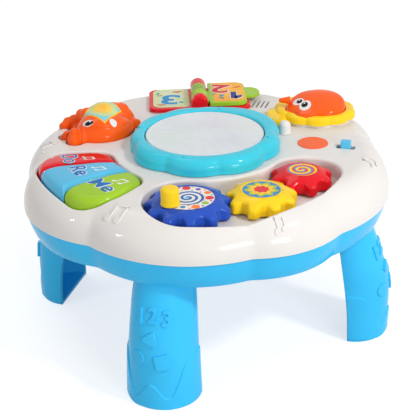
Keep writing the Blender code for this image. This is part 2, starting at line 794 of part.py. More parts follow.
def coil(name, radius, wire, bottom, top, place, turns=SPRING_TURNS, axis=None):
    """A coil spring: one unbroken tube along a helix."""
    count = turns * SPRING_POINTS_PER_TURN + 1
    curve = bpy.data.curves.new(name, "CURVE")
    curve.dimensions = "3D"
    curve.bevel_depth = wire
    curve.bevel_resolution = 0
    curve.use_fill_caps = True
    spline = curve.splines.new("POLY")
    spline.points.add(count - 1)
    low, high = bottom + wire, top - wire
    for i, point in enumerate(spline.points):
        share = i / (count - 1)
        x, y = polar(radius, 360.0 * turns * share)
        spot = Vector((x, y, low + (high - low) * share))
        if axis is not None:
            spot = axis @ spot
        point.co = (spot.x + place[0], spot.y + place[1], spot.z + (place[2] if len(place) > 2 else 0.0), 1.0)
    guide = bpy.data.objects.new(name, curve)
    CUTTERS.objects.link(guide)
    evaluated = guide.evaluated_get(bpy.context.evaluated_depsgraph_get())
    bm = bmesh.new()
    bm.from_mesh(evaluated.to_mesh())
    evaluated.to_mesh_clear()
    bpy.data.objects.remove(guide, do_unlink=True)
    bmesh.ops.remove_doubles(bm, verts=bm.verts, dist=WELD)
    return tool(name, mesh_from(name, bm))


def leg_shape(height):
    """Chord place, half width and tip of a leg at a height, read between the shares."""
    share = min(1.0, max(0.0, height / SKIRT_BOTTOM_Z))
    for low, high in zip(LEG_SHAPE_SHARES, LEG_SHAPE_SHARES[1:]):
        if share <= high[0]:
            step = (share - low[0]) / (high[0] - low[0])
            chord, width, tip = (a + (b - a) * step for a, b in zip(low[1:], high[1:]))
            break
    return (LEG_TOP_CHORD + (LEG_FOOT_CHORD - LEG_TOP_CHORD) * chord,
            LEG_TOP_HALF_WIDTH + (LEG_FOOT_HALF_WIDTH - LEG_TOP_HALF_WIDTH) * width,
            LEG_TOP_TIP + (LEG_WIDEST_TIP - LEG_TOP_TIP) * tip)


def leg_section(height, inset, opening=0.0, shape_height=None):
    """One D-shaped section of a leg that points along +X; opening moves its flat side inwards."""
    chord, half_width, tip = leg_shape(height if shape_height is None else shape_height)
    ring = []
    for i in range(LEG_POINTS + 1):
        swing = math.pi * i / LEG_POINTS - math.pi / 2
        ring.append((chord + (tip - chord - inset) * math.cos(swing), (half_width - inset) * math.sin(swing),
                     height))
    shift = inset if opening == 0.0 else -opening
    ring.append((chord + shift, half_width - inset, height))
    ring.append((chord + shift, inset - half_width, height))
    if opening == 0.0:
        ring = [(max(x, chord + shift), y, z) for x, y, z in ring[:-2]]
    return ring


def leg_turned(solid, direction_deg):
    """Turns a solid made along +X to a leg's direction."""
    solid.data.transform(Matrix.Rotation(math.radians(direction_deg), 4, "Z"))
    return solid


def leg_hollow(name, bottom, top, direction_deg):
    """The channel inside a leg, open towards the middle of the table."""
    heights = [bottom] + [share[0] * SKIRT_BOTTOM_Z for share in LEG_SHAPE_SHARES
                          if bottom < share[0] * SKIRT_BOTTOM_Z < top] + [top]
    return leg_turned(loft(name, [leg_section(z, LEG_WALL, OVERRUN) for z in heights]), direction_deg)


def leg_tongue(name, inset, bottom, top, direction_deg):
    """The tongue on a leg's top, or the socket round it."""
    rings = [leg_section(z, inset, shape_height=SKIRT_BOTTOM_Z) for z in (bottom, top)]
    return leg_turned(loft(name, rings), direction_deg)


def make_leg(name, direction_deg):
    """One leg: a half-round channel with a sole, a top plate and a tongue."""
    heights = [share[0] * SKIRT_BOTTOM_Z for share in LEG_SHAPE_SHARES[1:-1]]
    rings = [leg_section(0.0, LEG_TOE_ROUND), leg_section(LEG_TOE_ROUND, 0.0)]
    rings += [leg_section(z, 0.0) for z in heights]
    rings.append(leg_section(SKIRT_BOTTOM_Z - GAP, 0.0))
    leg = leg_turned(loft(name, rings), direction_deg)
    cut(leg, leg_hollow(name + "_hollow", LEG_SOLE, SKIRT_BOTTOM_Z - LEG_TOP_PLATE, direction_deg))
    join(leg, leg_tongue(name + "_tongue", LEG_TONGUE_INSET, SKIRT_BOTTOM_Z - BITE,
                         SKIRT_BOTTOM_Z + LEG_TONGUE_RISE, direction_deg))
    return part(name, leg, SKY, 0.28)


def screw_solid(name, place, head_z, length, head_radius=SCREW_HEAD_RADIUS, washer=0.0):
    """A screw driven upwards: its head hangs below head_z and its shank rises above it."""
    rim = head_radius if washer == 0.0 else SCREW_HEAD_RADIUS
    profile = [(0.0, head_z + length), (SCREW_RADIUS, head_z + length)]
    profile += [(SCREW_RADIUS, head_z), (head_radius, head_z)]
    if washer > 0.0:
        profile += [(head_radius, head_z - washer), (rim, head_z - washer)]
    low = head_z - washer - SCREW_HEAD_HEIGHT
    profile += [(rim, low), (0.0, low)]
    return turned(name, profile, place, SMALL_SEGMENTS)


def pilot(name, place, bottom, top):
    """A hole that clears a screw's shank."""
    return cylinder(name, SCREW_RADIUS + PILOT_CLEARANCE, bottom, top, place)


def make_base_shell():
    """The blue lower casing: a leaning skirt, a floor, leg sockets, screw bosses and a battery box."""
    lean_top = SKIRT_STEP
    lean_bottom = SKIRT_STEP + SKIRT_LEAN
    floor_top = SKIRT_BOTTOM_Z + SHELL_WALL
    rings = [at_height(casing_outline(lean_bottom), SKIRT_BOTTOM_Z),
             at_height(casing_outline(lean_top), CASING_SPLIT_Z)]
    shell = loft("base_shell", rings)
    hollow = loft("base_hollow", [at_height(casing_outline(lean_bottom + SHELL_WALL), floor_top),
                                  at_height(casing_outline(lean_top + SHELL_WALL), CASING_SPLIT_Z + OVERRUN)])
    cut(shell, hollow)
    for name, direction in LEG_DIRECTIONS.items():
        top = SKIRT_BOTTOM_Z + LEG_TONGUE_RISE
        join(shell, leg_tongue(name + "_socket", LEG_TONGUE_INSET - GAP - LEG_SOCKET_WALL,
                               floor_top - BITE, top, direction))
        cut(shell, leg_tongue(name + "_socket_hole", LEG_TONGUE_INSET - GAP,
                              SKIRT_BOTTOM_Z - OVERRUN, top + OVERRUN, direction))
    for name, place in SHELL_SCREW_PLACES.items():
        join(shell, cylinder(name + "_base_boss", BOSS_RADIUS, floor_top - BITE, CASING_SPLIT_Z - BOSS_JOIN_GAP,
                             place))
        cut(shell, pilot(name + "_base_bore", place, SKIRT_BOTTOM_Z - OVERRUN, CASING_SPLIT_Z + OVERRUN))
        cut(shell, cylinder(name + "_counterbore", SCREW_HEAD_RADIUS + PILOT_CLEARANCE,
                            SKIRT_BOTTOM_Z - OVERRUN, SHELL_SCREW_HEAD_Z + GAP, place))
    add_battery_box(shell)
    return part("base_shell", shell, SKY, 0.28)


def battery_sizes():
    """Half length and half width of the battery space, its top and the door's half length."""
    half_length = CELL_LENGTH / 2 + CONTACT_SPACE
    half_width = CELL_PITCH * (CELL_COUNT - 1) / 2 + CELL_RADIUS + CELL_CLEARANCE
    top = SKIRT_BOTTOM_Z + DOOR_THICKNESS + 2 * CELL_CLEARANCE + 2 * CELL_RADIUS
    return half_length, half_width, top, half_length + DOOR_SCREW_SPACE


def add_battery_box(shell):
    """Walls and roof of the battery space, the door's seat, the door screw's boss and board posts."""
    half_length, half_width, top, door_half = battery_sizes()
    roof = top + BOX_WALL
    join(shell, box("battery_box", (-half_length - BOX_WALL, -half_width - BOX_WALL, SKIRT_BOTTOM_Z + BITE),
                    (door_half - BITE, half_width + BOX_WALL, roof)))
    posts_x = BOARD_LENGTH / 2 - BOARD_POST_INSET
    posts_y = BOARD_WIDTH / 2 - BOARD_POST_INSET
    for i, (x, y) in enumerate(((-1, -1), (1, -1), (1, 1), (-1, 1))):
        place = (x * min(posts_x, half_length - BOARD_POST_RADIUS),
                 y * min(posts_y, half_width - BOARD_POST_RADIUS))
        join(shell, cylinder("board_post_%d" % i, BOARD_POST_RADIUS, roof - BITE, BOARD_Z - GAP, place))
    cut(shell, box("battery_space", (-half_length, -half_width, SKIRT_BOTTOM_Z - OVERRUN),
                   (half_length, half_width, top)))
    cut(shell, box("door_seat", (-half_length - DOOR_LEDGE, -half_width - DOOR_LEDGE, SKIRT_BOTTOM_Z - OVERRUN),
                   (door_half, half_width + DOOR_LEDGE, SKIRT_BOTTOM_Z + DOOR_THICKNESS)))
    place = (half_length + DOOR_SCREW_SPACE / 2, 0.0)
    cut(shell, pilot("door_pilot", place, SKIRT_BOTTOM_Z - OVERRUN, SKIRT_BOTTOM_Z + CELL_RADIUS * 2))


def make_battery_parts():
    """The door and its screw, three cells and the contact plates at both ends."""
    half_length, half_width, top, door_half = battery_sizes()
    low = SKIRT_BOTTOM_Z
    high = SKIRT_BOTTOM_Z + DOOR_THICKNESS - GAP
    door = box("battery_door", (-half_length - DOOR_LEDGE + GAP, -half_width - DOOR_LEDGE + GAP, low),
               (door_half - GAP, half_width + DOOR_LEDGE - GAP, high))
    place = (half_length + DOOR_SCREW_SPACE / 2, 0.0)
    cut(door, pilot("door_bore", place, low - OVERRUN, high + OVERRUN))
    head_seat = low + DOOR_THICKNESS / 2
    cut(door, cylinder("door_screw_seat", SCREW_HEAD_RADIUS + PILOT_CLEARANCE, low - OVERRUN, head_seat, place))
    part("battery_door", door, SKY, 0.32)
    shank_top = SKIRT_BOTTOM_Z + CELL_RADIUS
    screw = turned("battery_door_screw", [(0.0, shank_top), (SCREW_RADIUS, shank_top),
                                          (SCREW_RADIUS, head_seat - GAP), (SCREW_HEAD_RADIUS, head_seat - GAP),
                                          (SCREW_HEAD_RADIUS, low + GAP), (0.0, low + GAP)], place, SMALL_SEGMENTS)
    part("battery_door_screw", screw, STEEL, 0.3, 1.0)
    middle_z = SKIRT_BOTTOM_Z + DOOR_THICKNESS + CELL_CLEARANCE + CELL_RADIUS
    for i in range(CELL_COUNT):
        y = (i - (CELL_COUNT - 1) / 2) * CELL_PITCH
        end = CELL_LENGTH / 2 if i % 2 == 0 else -CELL_LENGTH / 2
        body_end = end * CELL_BODY_SHARE
        cell = lying_cylinder("cell", CELL_RADIUS, (-end, y, middle_z), (body_end, y, middle_z))
        join(cell, lying_cylinder("cell_button_%d" % i, CELL_RADIUS / 3,
                                  (body_end * CELL_BODY_SHARE, y, middle_z), (end, y, middle_z)))
        part("battery_%d" % (i + 1), cell, DARK, 0.4)
    for name, side in (("battery_contact_left", -1.0), ("battery_contact_right", 1.0)):
        outer = half_length - GAP
        inner = outer - CONTACT_THICKNESS
        plate = box(name, (min(side * inner, side * outer), -half_width + GAP, SKIRT_BOTTOM_Z + DOOR_THICKNESS + GAP),
                    (max(side * inner, side * outer), half_width - GAP, top - GAP))
        for i in range(CELL_COUNT):
            y = (i - (CELL_COUNT - 1) / 2) * CELL_PITCH
            join(plate, lying_cylinder("%s_stub_%d" % (name, i), CONTACT_STUB_RADIUS,
                                       (side * (inner + CONTACT_THICKNESS / 2), y, middle_z),
                                       (side * (CELL_LENGTH / 2 + GAP), y, middle_z)))
        part(name, plate, STEEL, 0.25, 1.0)


def make_shell_screws():
    """The long screws that hold the two casings together."""
    for name, place in SHELL_SCREW_PLACES.items():
        part(name, screw_solid(name, place, SHELL_SCREW_HEAD_Z, SHELL_SCREW_LENGTH), STEEL, 0.3, 1.0)


def make_top_shell():
    """The white tray: shoulder, gear recess, key well, drum opening and the seats of what it carries."""
    ceiling = TABLE_TOP_Z - SHELL_WALL
    stand_top = TABLE_TOP_Z + LION_STAND_RISE
    shell = loft("top_shell", shoulder_sections(CASING_SPLIT_Z + GAP, 0.0))
    join(shell, prism("lion_stand", lion_outline(-LION_STAND_INSET), SHOULDER_START_Z, stand_top))
    join(shell, box("book_stand", (BOOK_STAND_INSET - BOOK_HALF_SPAN, BOOK_NEAR + BOOK_STAND_INSET, SHOULDER_START_Z),
                    (BOOK_HALF_SPAN - BOOK_STAND_INSET, BOOK_FAR - BOOK_STAND_INSET, TABLE_TOP_Z + BOOK_STAND_RISE),
                    BOOK_TURN_DEG))
    cut(shell, loft("tray_hollow", shoulder_sections(CASING_SPLIT_Z - OVERRUN, SHELL_WALL)))
    cut(shell, prism("lion_stand_hollow", lion_outline(-LION_STAND_INSET - SHELL_WALL), CASING_SPLIT_Z - OVERRUN,
                     ceiling))
    floor_bottom = POCKET_FLOOR_Z - POCKET_FLOOR_THICKNESS
    tub = prism("pocket_tub", pocket_outline(POCKET_WALL), floor_bottom, ceiling + BITE)
    trim(tub, loft("pocket_tub_limit", shoulder_sections(CASING_SPLIT_Z - OVERRUN, SHELL_WALL / 2)))
    join(shell, tub)
    cut(shell, prism("pocket", pocket_outline(), POCKET_FLOOR_Z, TABLE_TOP_Z + OVERRUN))
    for name, (place, _turn, _teeth) in gear_places().items():
        cut(shell, cylinder(name + "_shaft_hole", GEAR_SHAFT_RADIUS + GEAR_SHAFT_CLEARANCE,
                            floor_bottom - OVERRUN, POCKET_FLOOR_Z + OVERRUN, place))
    add_key_well(shell, ceiling)
    cut(shell, cylinder("drum_opening", DRUM_SKIRT_RADIUS + DRUM_CLEARANCE, ceiling - OVERRUN,
                        TABLE_TOP_Z + OVERRUN, segments=ROUND_SEGMENTS))
    for name, direction in BEZEL_SCREW_DIRECTIONS.items():
        cut(shell, pilot(name + "_tray_bore", polar(BEZEL_SCREW_PLACE, direction), ceiling - OVERRUN,
                         TABLE_TOP_Z + OVERRUN))
    add_elephant_well(shell, ceiling)
    stem_hole = PRESS_STEM_RADIUS + PRESS_STEM_CLEARANCE
    cut(shell, cylinder("lion_stem_hole", stem_hole, ceiling - OVERRUN, stand_top + OVERRUN, lion_head_centre()))
    for name, place in SHELL_SCREW_PLACES.items():
        top = ceiling + BITE
        if name == "shell_screw_under_gears":
            top = floor_bottom + BITE
        join(shell, cylinder(name + "_tray_boss", BOSS_RADIUS, CASING_SPLIT_Z + BOSS_JOIN_GAP, top, place))
        cut(shell, pilot(name + "_tray_bore", place, CASING_SPLIT_Z - OVERRUN,
                         SHELL_SCREW_HEAD_Z + SHELL_SCREW_LENGTH + GAP))
    cut(shell, cylinder("post_seat", POST_STEM_RADIUS + GAP, ceiling - OVERRUN, TABLE_TOP_Z + OVERRUN, POST_PLACE))
    x, y = SWITCH_PLACE
    cut(shell, box("switch_slot", (x - SWITCH_SLOT_LENGTH / 2, y - SWITCH_SLOT_WIDTH / 2, ceiling - OVERRUN),
                   (x + SWITCH_SLOT_LENGTH / 2, y + SWITCH_SLOT_WIDTH / 2, TABLE_TOP_Z + OVERRUN)))
    for i in range(GRILLE_SLOTS):
        gx = GRILLE_PLACE[0] + (i - (GRILLE_SLOTS - 1) / 2) * GRILLE_PITCH
        gy = GRILLE_PLACE[1]
        half_width, half_length = GRILLE_SLOT_WIDTH / 2, GRILLE_SLOT_LENGTH / 2
        cut(shell, box("grille_slot_%d" % i, (gx - half_width, gy - half_length, ceiling - OVERRUN),
                       (gx + half_width, gy + half_length, TABLE_TOP_Z + OVERRUN)))
    for name, place in book_screw_places().items():
        cut(shell, pilot(name + "_tray_bore", place, ceiling - OVERRUN, TABLE_TOP_Z + OVERRUN))
    return part("top_shell", shell, WHITE, 0.22)


def add_key_well(shell, ceiling):
    """The well that the keys stand in: a wall open below, with slots that take the rod's ends."""
    wall = prism("key_well_wall", keys_outline(KEY_WELL_CLEARANCE + KEY_WELL_WALL), KEY_WELL_BOTTOM_Z,
                 ceiling + BITE)
    trim(wall, loft("key_well_limit", shoulder_sections(CASING_SPLIT_Z - OVERRUN, SHELL_WALL / 2)))
    join(shell, wall)
    cut(shell, prism("key_well", keys_outline(KEY_WELL_CLEARANCE), KEY_WELL_BOTTOM_Z - OVERRUN,
                     TABLE_TOP_Z + OVERRUN))
    slot = KEY_ROD_RADIUS + GAP
    rod_half = rod_half_length() + GAP
    cut(shell, box("rod_slot", (KEY_HINGE_PLACE - slot, -rod_half, KEY_WELL_BOTTOM_Z - OVERRUN),
                   (KEY_HINGE_PLACE + slot, rod_half, KEY_HINGE_Z + slot), KEYS_MIDDLE_DEG))


def add_elephant_well(shell, ceiling):
    """The shallow well that the elephant sinks into when it is pressed."""
    floor_bottom = ELEPHANT_WELL_FLOOR_Z - SHELL_WALL
    grown = ELEPHANT_WELL_CLEARANCE + ELEPHANT_WELL_WALL
    tub = prism("elephant_tub", elephant_outline(grown), floor_bottom, ceiling + BITE)
    trim(tub, loft("elephant_tub_limit", shoulder_sections(CASING_SPLIT_Z - OVERRUN, SHELL_WALL / 2)))
    join(shell, tub)
    cut(shell, prism("elephant_well", elephant_outline(ELEPHANT_WELL_CLEARANCE), ELEPHANT_WELL_FLOOR_Z,
                     TABLE_TOP_Z + OVERRUN))
    cut(shell, cylinder("elephant_stem_hole", PRESS_STEM_RADIUS + PRESS_STEM_CLEARANCE,
                        floor_bottom - OVERRUN, ELEPHANT_WELL_FLOOR_Z + OVERRUN, ELEPHANT_CENTRE))


def elephant_outline(growth=0.0):
    """The elephant from above: a round body, two rear lobes and the lobes of its feet and trunk."""
    return blob_outline(ELEPHANT_CENTRE, ELEPHANT_RADIUS, ELEPHANT_LOBES, growth)


def lion_outline(growth=0.0):
    """The scalloped oval under the lion's head."""
    return oval_outline(LION_CENTRE, LION_HALF_LENGTH + growth, LION_HALF_WIDTH + growth, LION_SCALLOPS,
                        LION_SCALLOP_DEPTH, LION_SCALLOPS * 5)


def lion_head_centre():
    """Where the lion's head stands on its body."""
    return (LION_CENTRE[0] + LION_HEAD_SHIFT[0], LION_CENTRE[1] + LION_HEAD_SHIFT[1])


def make_drum():
    """The bezel, the sprung disc, the light dish, its spring and the bezel's screws."""
    bezel_bottom = TABLE_TOP_Z + GAP
    ledge = bezel_bottom + BEZEL_LEDGE_THICKNESS
    rings = []
    for inset, height in ((0.0, bezel_bottom), (0.0, BEZEL_CREST_Z - BEZEL_SHOULDER),
                          (BEZEL_SHOULDER * ROUNDING_SHARE, BEZEL_CREST_Z - BEZEL_SHOULDER * ROUNDING_SHARE),
                          (BEZEL_SHOULDER, BEZEL_CREST_Z)):
        rings.append(at_height(bezel_outline(inset), height))
    bezel = loft("drum_bezel", rings)
    for k in range(4):
        place = polar(BEZEL_LUG_PLACE, 90.0 * k)
        join(bezel, cylinder("bezel_lug_%d" % k, BEZEL_LUG_RADIUS, BEZEL_CREST_Z - BITE,
                             BEZEL_CREST_Z + BEZEL_LUG_RISE, place))
    rim = DRUM_RADIUS + DRUM_CLEARANCE
    cut(bezel, turned("bezel_opening", [(0.0, BEZEL_CREST_Z + OVERRUN), (rim + OVERRUN, BEZEL_CREST_Z + OVERRUN),
                                        (rim + BEZEL_RIM_CHAMFER, BEZEL_CREST_Z + BITE),
                                        (rim, BEZEL_CREST_Z - BEZEL_RIM_CHAMFER), (rim, ledge), (0.0, ledge)]))
    cut(bezel, cylinder("bezel_bore", DRUM_SKIRT_RADIUS + DRUM_CLEARANCE, bezel_bottom - OVERRUN,
                        ledge + OVERRUN, segments=ROUND_SEGMENTS))
    dish_top = TABLE_TOP_Z - SHELL_WALL - GAP
    head_z = dish_top - DISH_FLANGE_THICKNESS - GAP
    for name, direction in BEZEL_SCREW_DIRECTIONS.items():
        place = polar(BEZEL_SCREW_PLACE, direction)
        cut(bezel, pilot(name + "_bezel_bore", place, bezel_bottom - OVERRUN,
                         head_z + BEZEL_SCREW_LENGTH + GAP))
        part(name, screw_solid(name, place, head_z, BEZEL_SCREW_LENGTH), STEEL, 0.3, 1.0)
    part("drum_bezel", bezel, TURQUOISE, 0.2)
    make_drum_disc(dish_top)
    make_light_dish(dish_top)
    spring = coil("drum_spring", DRUM_SPRING_RADIUS, SPRING_WIRE_RADIUS, DISH_FLOOR_Z + GAP,
                  DRUM_TOP_Z - DRUM_PLATE - GAP, (0.0, 0.0))
    part("drum_spring", spring, STEEL, 0.3, 1.0)


def make_drum_disc(catch_top):
    """The pearly disc with its guide skirt and three catches under the tray."""
    under = DRUM_TOP_Z - DRUM_PLATE
    inner = DRUM_SKIRT_RADIUS - DRUM_SKIRT_WALL
    disc = turned("drum_disc", [(0.0, DRUM_TOP_Z), (DRUM_RADIUS - BEZEL_RIM_CHAMFER, DRUM_TOP_Z),
                                (DRUM_RADIUS, DRUM_TOP_Z - BEZEL_RIM_CHAMFER), (DRUM_RADIUS, under),
                                (DRUM_SKIRT_RADIUS, under), (DRUM_SKIRT_RADIUS, DRUM_SKIRT_BOTTOM_Z),
                                (inner, DRUM_SKIRT_BOTTOM_Z), (inner, under), (0.0, under)])
    for direction in DRUM_CATCH_DIRECTIONS:
        catch = box("drum_catch_%d" % direction, (inner + BITE, -DRUM_CATCH_WIDTH / 2, catch_top - DRUM_CATCH_HEIGHT),
                    (DRUM_SKIRT_RADIUS + DRUM_CATCH_REACH, DRUM_CATCH_WIDTH / 2, catch_top), direction)
        join(disc, catch)
    part("drum_disc", disc, PEARL, 0.25)


def make_light_dish(flange_top):
    """The white dish under the drum, with a hole for each lamp."""
    under = flange_top - DISH_FLANGE_THICKNESS
    floor_under = DISH_FLOOR_Z - DISH_WALL
    dish = turned("light_dish", [(DISH_RADIUS, flange_top), (DISH_FLANGE_RADIUS, flange_top),
                                 (DISH_FLANGE_RADIUS, under), (DISH_RADIUS + DISH_WALL, under),
                                 (DISH_RADIUS + DISH_WALL, floor_under), (BITE, floor_under),
                                 (BITE, DISH_FLOOR_Z), (DISH_RADIUS, DISH_FLOOR_Z)])
    for name, direction in LED_DIRECTIONS.items():
        cut(dish, cylinder(name + "_hole", LED_RADIUS + GAP, floor_under - OVERRUN, DISH_FLOOR_Z + OVERRUN,
                           polar(LED_RING, direction)))
    for name, direction in BEZEL_SCREW_DIRECTIONS.items():
        cut(dish, pilot(name + "_dish_bore", polar(BEZEL_SCREW_PLACE, direction), under - OVERRUN,
                        flange_top + OVERRUN))
    part("light_dish", dish, WHITE, 0.4)


def make_board():
    """The circuit board with its chip and capacitor, and the three lamps that stand on it."""
    top = BOARD_Z + BOARD_THICKNESS
    board = box("circuit_board", (-BOARD_LENGTH / 2, -BOARD_WIDTH / 2, BOARD_Z),
                (BOARD_LENGTH / 2, BOARD_WIDTH / 2, top))
    join(board, box("chip", (-CHIP_SIZE / 2, -CHIP_SIZE / 2, top - BITE),
                    (CHIP_SIZE / 2, CHIP_SIZE / 2, top + CHIP_HEIGHT)))
    join(board, cylinder("capacitor", CAPACITOR_RADIUS, top - BITE, top + CAPACITOR_HEIGHT,
                         (BOARD_LENGTH / 2 - CHIP_SIZE, 0.0)))
    part("circuit_board", board, BOARD_GREEN, 0.4)
    for name, direction in LED_DIRECTIONS.items():
        colour = {"led_red": RED, "led_green": GREEN, "led_blue": KEY_BLUE}[name]
        lamp = cylinder(name, LED_RADIUS, top + GAP, DISH_FLOOR_Z + LED_RISE, polar(LED_RING, direction))
        part(name, lamp, colour, 0.15)


def make_gear(colour_name, colour):
    """One gear: rounded teeth under a domed face, hollow below, with a shaft through the floor."""
    place, turn, teeth = gear_places()[colour_name]
    tip = tip_radius(teeth)
    root = root_radius(teeth)
    face = tip - GEAR_FACE_MARGIN - TOOTH_ROOT
    gear = prism("gear_" + colour_name, tooth_outline(teeth, turn, place), GEAR_BOTTOM_Z, GEAR_TOP_Z + OVERRUN)
    slope = GEAR_SHOULDER_DROP
    high_slope, low_slope = (slope * share for share in GEAR_SLOPE_SHARES)
    trim(gear, turned(colour_name + "_dome", [(0.0, GEAR_TOP_Z), (face, GEAR_TOP_Z),
                                              (face + GEAR_FACE_MARGIN / 2, GEAR_TOP_Z - high_slope),
                                              (root, GEAR_TOP_Z - low_slope), (tip + BITE, GEAR_TOP_Z - slope),
                                              (tip + BITE, GEAR_BOTTOM_Z - OVERRUN),
                                              (0.0, GEAR_BOTTOM_Z - OVERRUN)], place))
    low = GEAR_BOTTOM_Z - OVERRUN
    roof = GEAR_TOP_Z - low_slope - GEAR_SKIN
    cut(gear, turned(colour_name + "_hollow", [(GEAR_HUB_RADIUS, roof), (root - GEAR_RIM_WALL, roof),
                                               (root - GEAR_RIM_WALL, low), (GEAR_HUB_RADIUS, low)], place))
    floor_under = POCKET_FLOOR_Z - POCKET_FLOOR_THICKNESS
    hub_bottom = POCKET_FLOOR_Z + GAP
    join(gear, cylinder(colour_name + "_hub", GEAR_HUB_RADIUS - BITE, hub_bottom, GEAR_BOTTOM_Z + BITE, place))
    join(gear, cylinder(colour_name + "_shaft", GEAR_SHAFT_RADIUS, floor_under, hub_bottom + BITE, place))
    screw_head = floor_under - GAP
    cut(gear, pilot(colour_name + "_pilot", place, floor_under - OVERRUN, screw_head + GEAR_SCREW_LENGTH + GAP))
    if colour_name == "blue":
        seat = polar(KNOB_FROM_CENTRE, KNOB_DIRECTION_DEG, place)
        seat_top = GEAR_TOP_Z - KNOB_STEM_LENGTH
        cut(gear, cylinder("knob_seat", KNOB_STEM_RADIUS + GAP, seat_top - GAP, GEAR_TOP_Z + OVERRUN, seat))
    part("gear_" + colour_name, pivoted(gear, (*place, GEAR_TOP_Z)), colour, 0.25)
    screw = screw_solid("gear_screw_" + colour_name, place, screw_head, GEAR_SCREW_LENGTH,
                        GEAR_SCREW_WASHER_RADIUS, GEAR_SCREW_WASHER)
    part("gear_screw_" + colour_name, screw, STEEL, 0.3, 1.0)


def make_knob():
    """The yellow turning knob on the blue gear."""
    seat = polar(KNOB_FROM_CENTRE, KNOB_DIRECTION_DEG, gear_places()["blue"][0])
    bottom = GEAR_TOP_Z + GAP
    stem = GEAR_TOP_Z - KNOB_STEM_LENGTH
    profile = [(0.0, KNOB_TOP_Z), (KNOB_RADIUS - KNOB_EDGE, KNOB_TOP_Z), (KNOB_RADIUS, KNOB_TOP_Z - KNOB_EDGE),
               (KNOB_RADIUS, bottom), (KNOB_STEM_RADIUS, bottom), (KNOB_STEM_RADIUS, stem), (0.0, stem)]
    part("gear_knob", turned("gear_knob", profile, seat), YELLOW, 0.3)


def key_spans():
    """Start and end direction of each key, from the green one round to the red one."""
    half = KEYS_HALF_SPAN_DEG
    gap = math.degrees(KEY_GAP / KEYS_INNER) / 2
    first, second = KEY_SPLITS_DEG
    spans = {"key_green": (first + gap, half), "key_blue": (second + gap, first - gap),
             "key_red": (-half, second - gap)}
    return {name: (KEYS_MIDDLE_DEG + a, KEYS_MIDDLE_DEG + b) for name, (a, b) in spans.items()}


def key_block(solid_name, name, shrink, bottom, top):
    """The block of one key: the keyboard's outline, drawn in by a wall, between two directions."""
    start, end = key_spans()[name]
    turn = math.degrees(shrink / KEYS_INNER)
    start += -KEY_SECTOR_MARGIN_DEG if name == "key_red" else turn
    end += KEY_SECTOR_MARGIN_DEG if name == "key_green" else -turn
    near, reach = KEYS_INNER / 2, KEYS_OUTER + OVERRUN
    block = prism(solid_name, keys_outline(-shrink), bottom, top)
    sector = [polar(near, start), polar(reach, start), polar(reach * 2, (start + end) / 2), polar(reach, end),
              polar(near, end)]
    return trim(block, prism(solid_name + "_sector", sector, bottom - OVERRUN, top + OVERRUN))


def key_dome(name, drop, base):
    """The keys' common top: a crown that falls away to the table's edge."""
    profile = [(0.0, KEY_INNER_Z - drop)]
    for share, height in KEY_DOME_SHARES:
        profile.append((KEYS_INNER + (KEYS_OUTER - KEYS_INNER) * share,
                        KEY_OUTER_Z + (KEY_CREST_Z - KEY_OUTER_Z) * height - drop))
    profile += [(KEYS_OUTER + OVERRUN, KEY_OUTER_Z - drop - OVERRUN / 4), (KEYS_OUTER + OVERRUN, base), (0.0, base)]
    return turned(name, profile, segments=OUTLINE_POINTS)


def rod_half_length():
    """Half the length of the keys' rod: it ends in the well's walls."""
    half = math.radians(KEYS_HALF_SPAN_DEG)
    return KEY_HINGE_PLACE * math.tan(half) + KEY_WELL_CLEARANCE / math.cos(half) + KEY_ROD_END


def lug_places(name):
    """Where a key's two lugs stand along the rod."""
    start, end = (math.radians(a - KEYS_MIDDLE_DEG) for a in key_spans()[name])
    low = KEYS_INNER * math.sin(start) + KEY_WALL + KEY_LUG_INSET
    high = KEYS_INNER * math.sin(end) - KEY_WALL - KEY_LUG_INSET
    return low, high


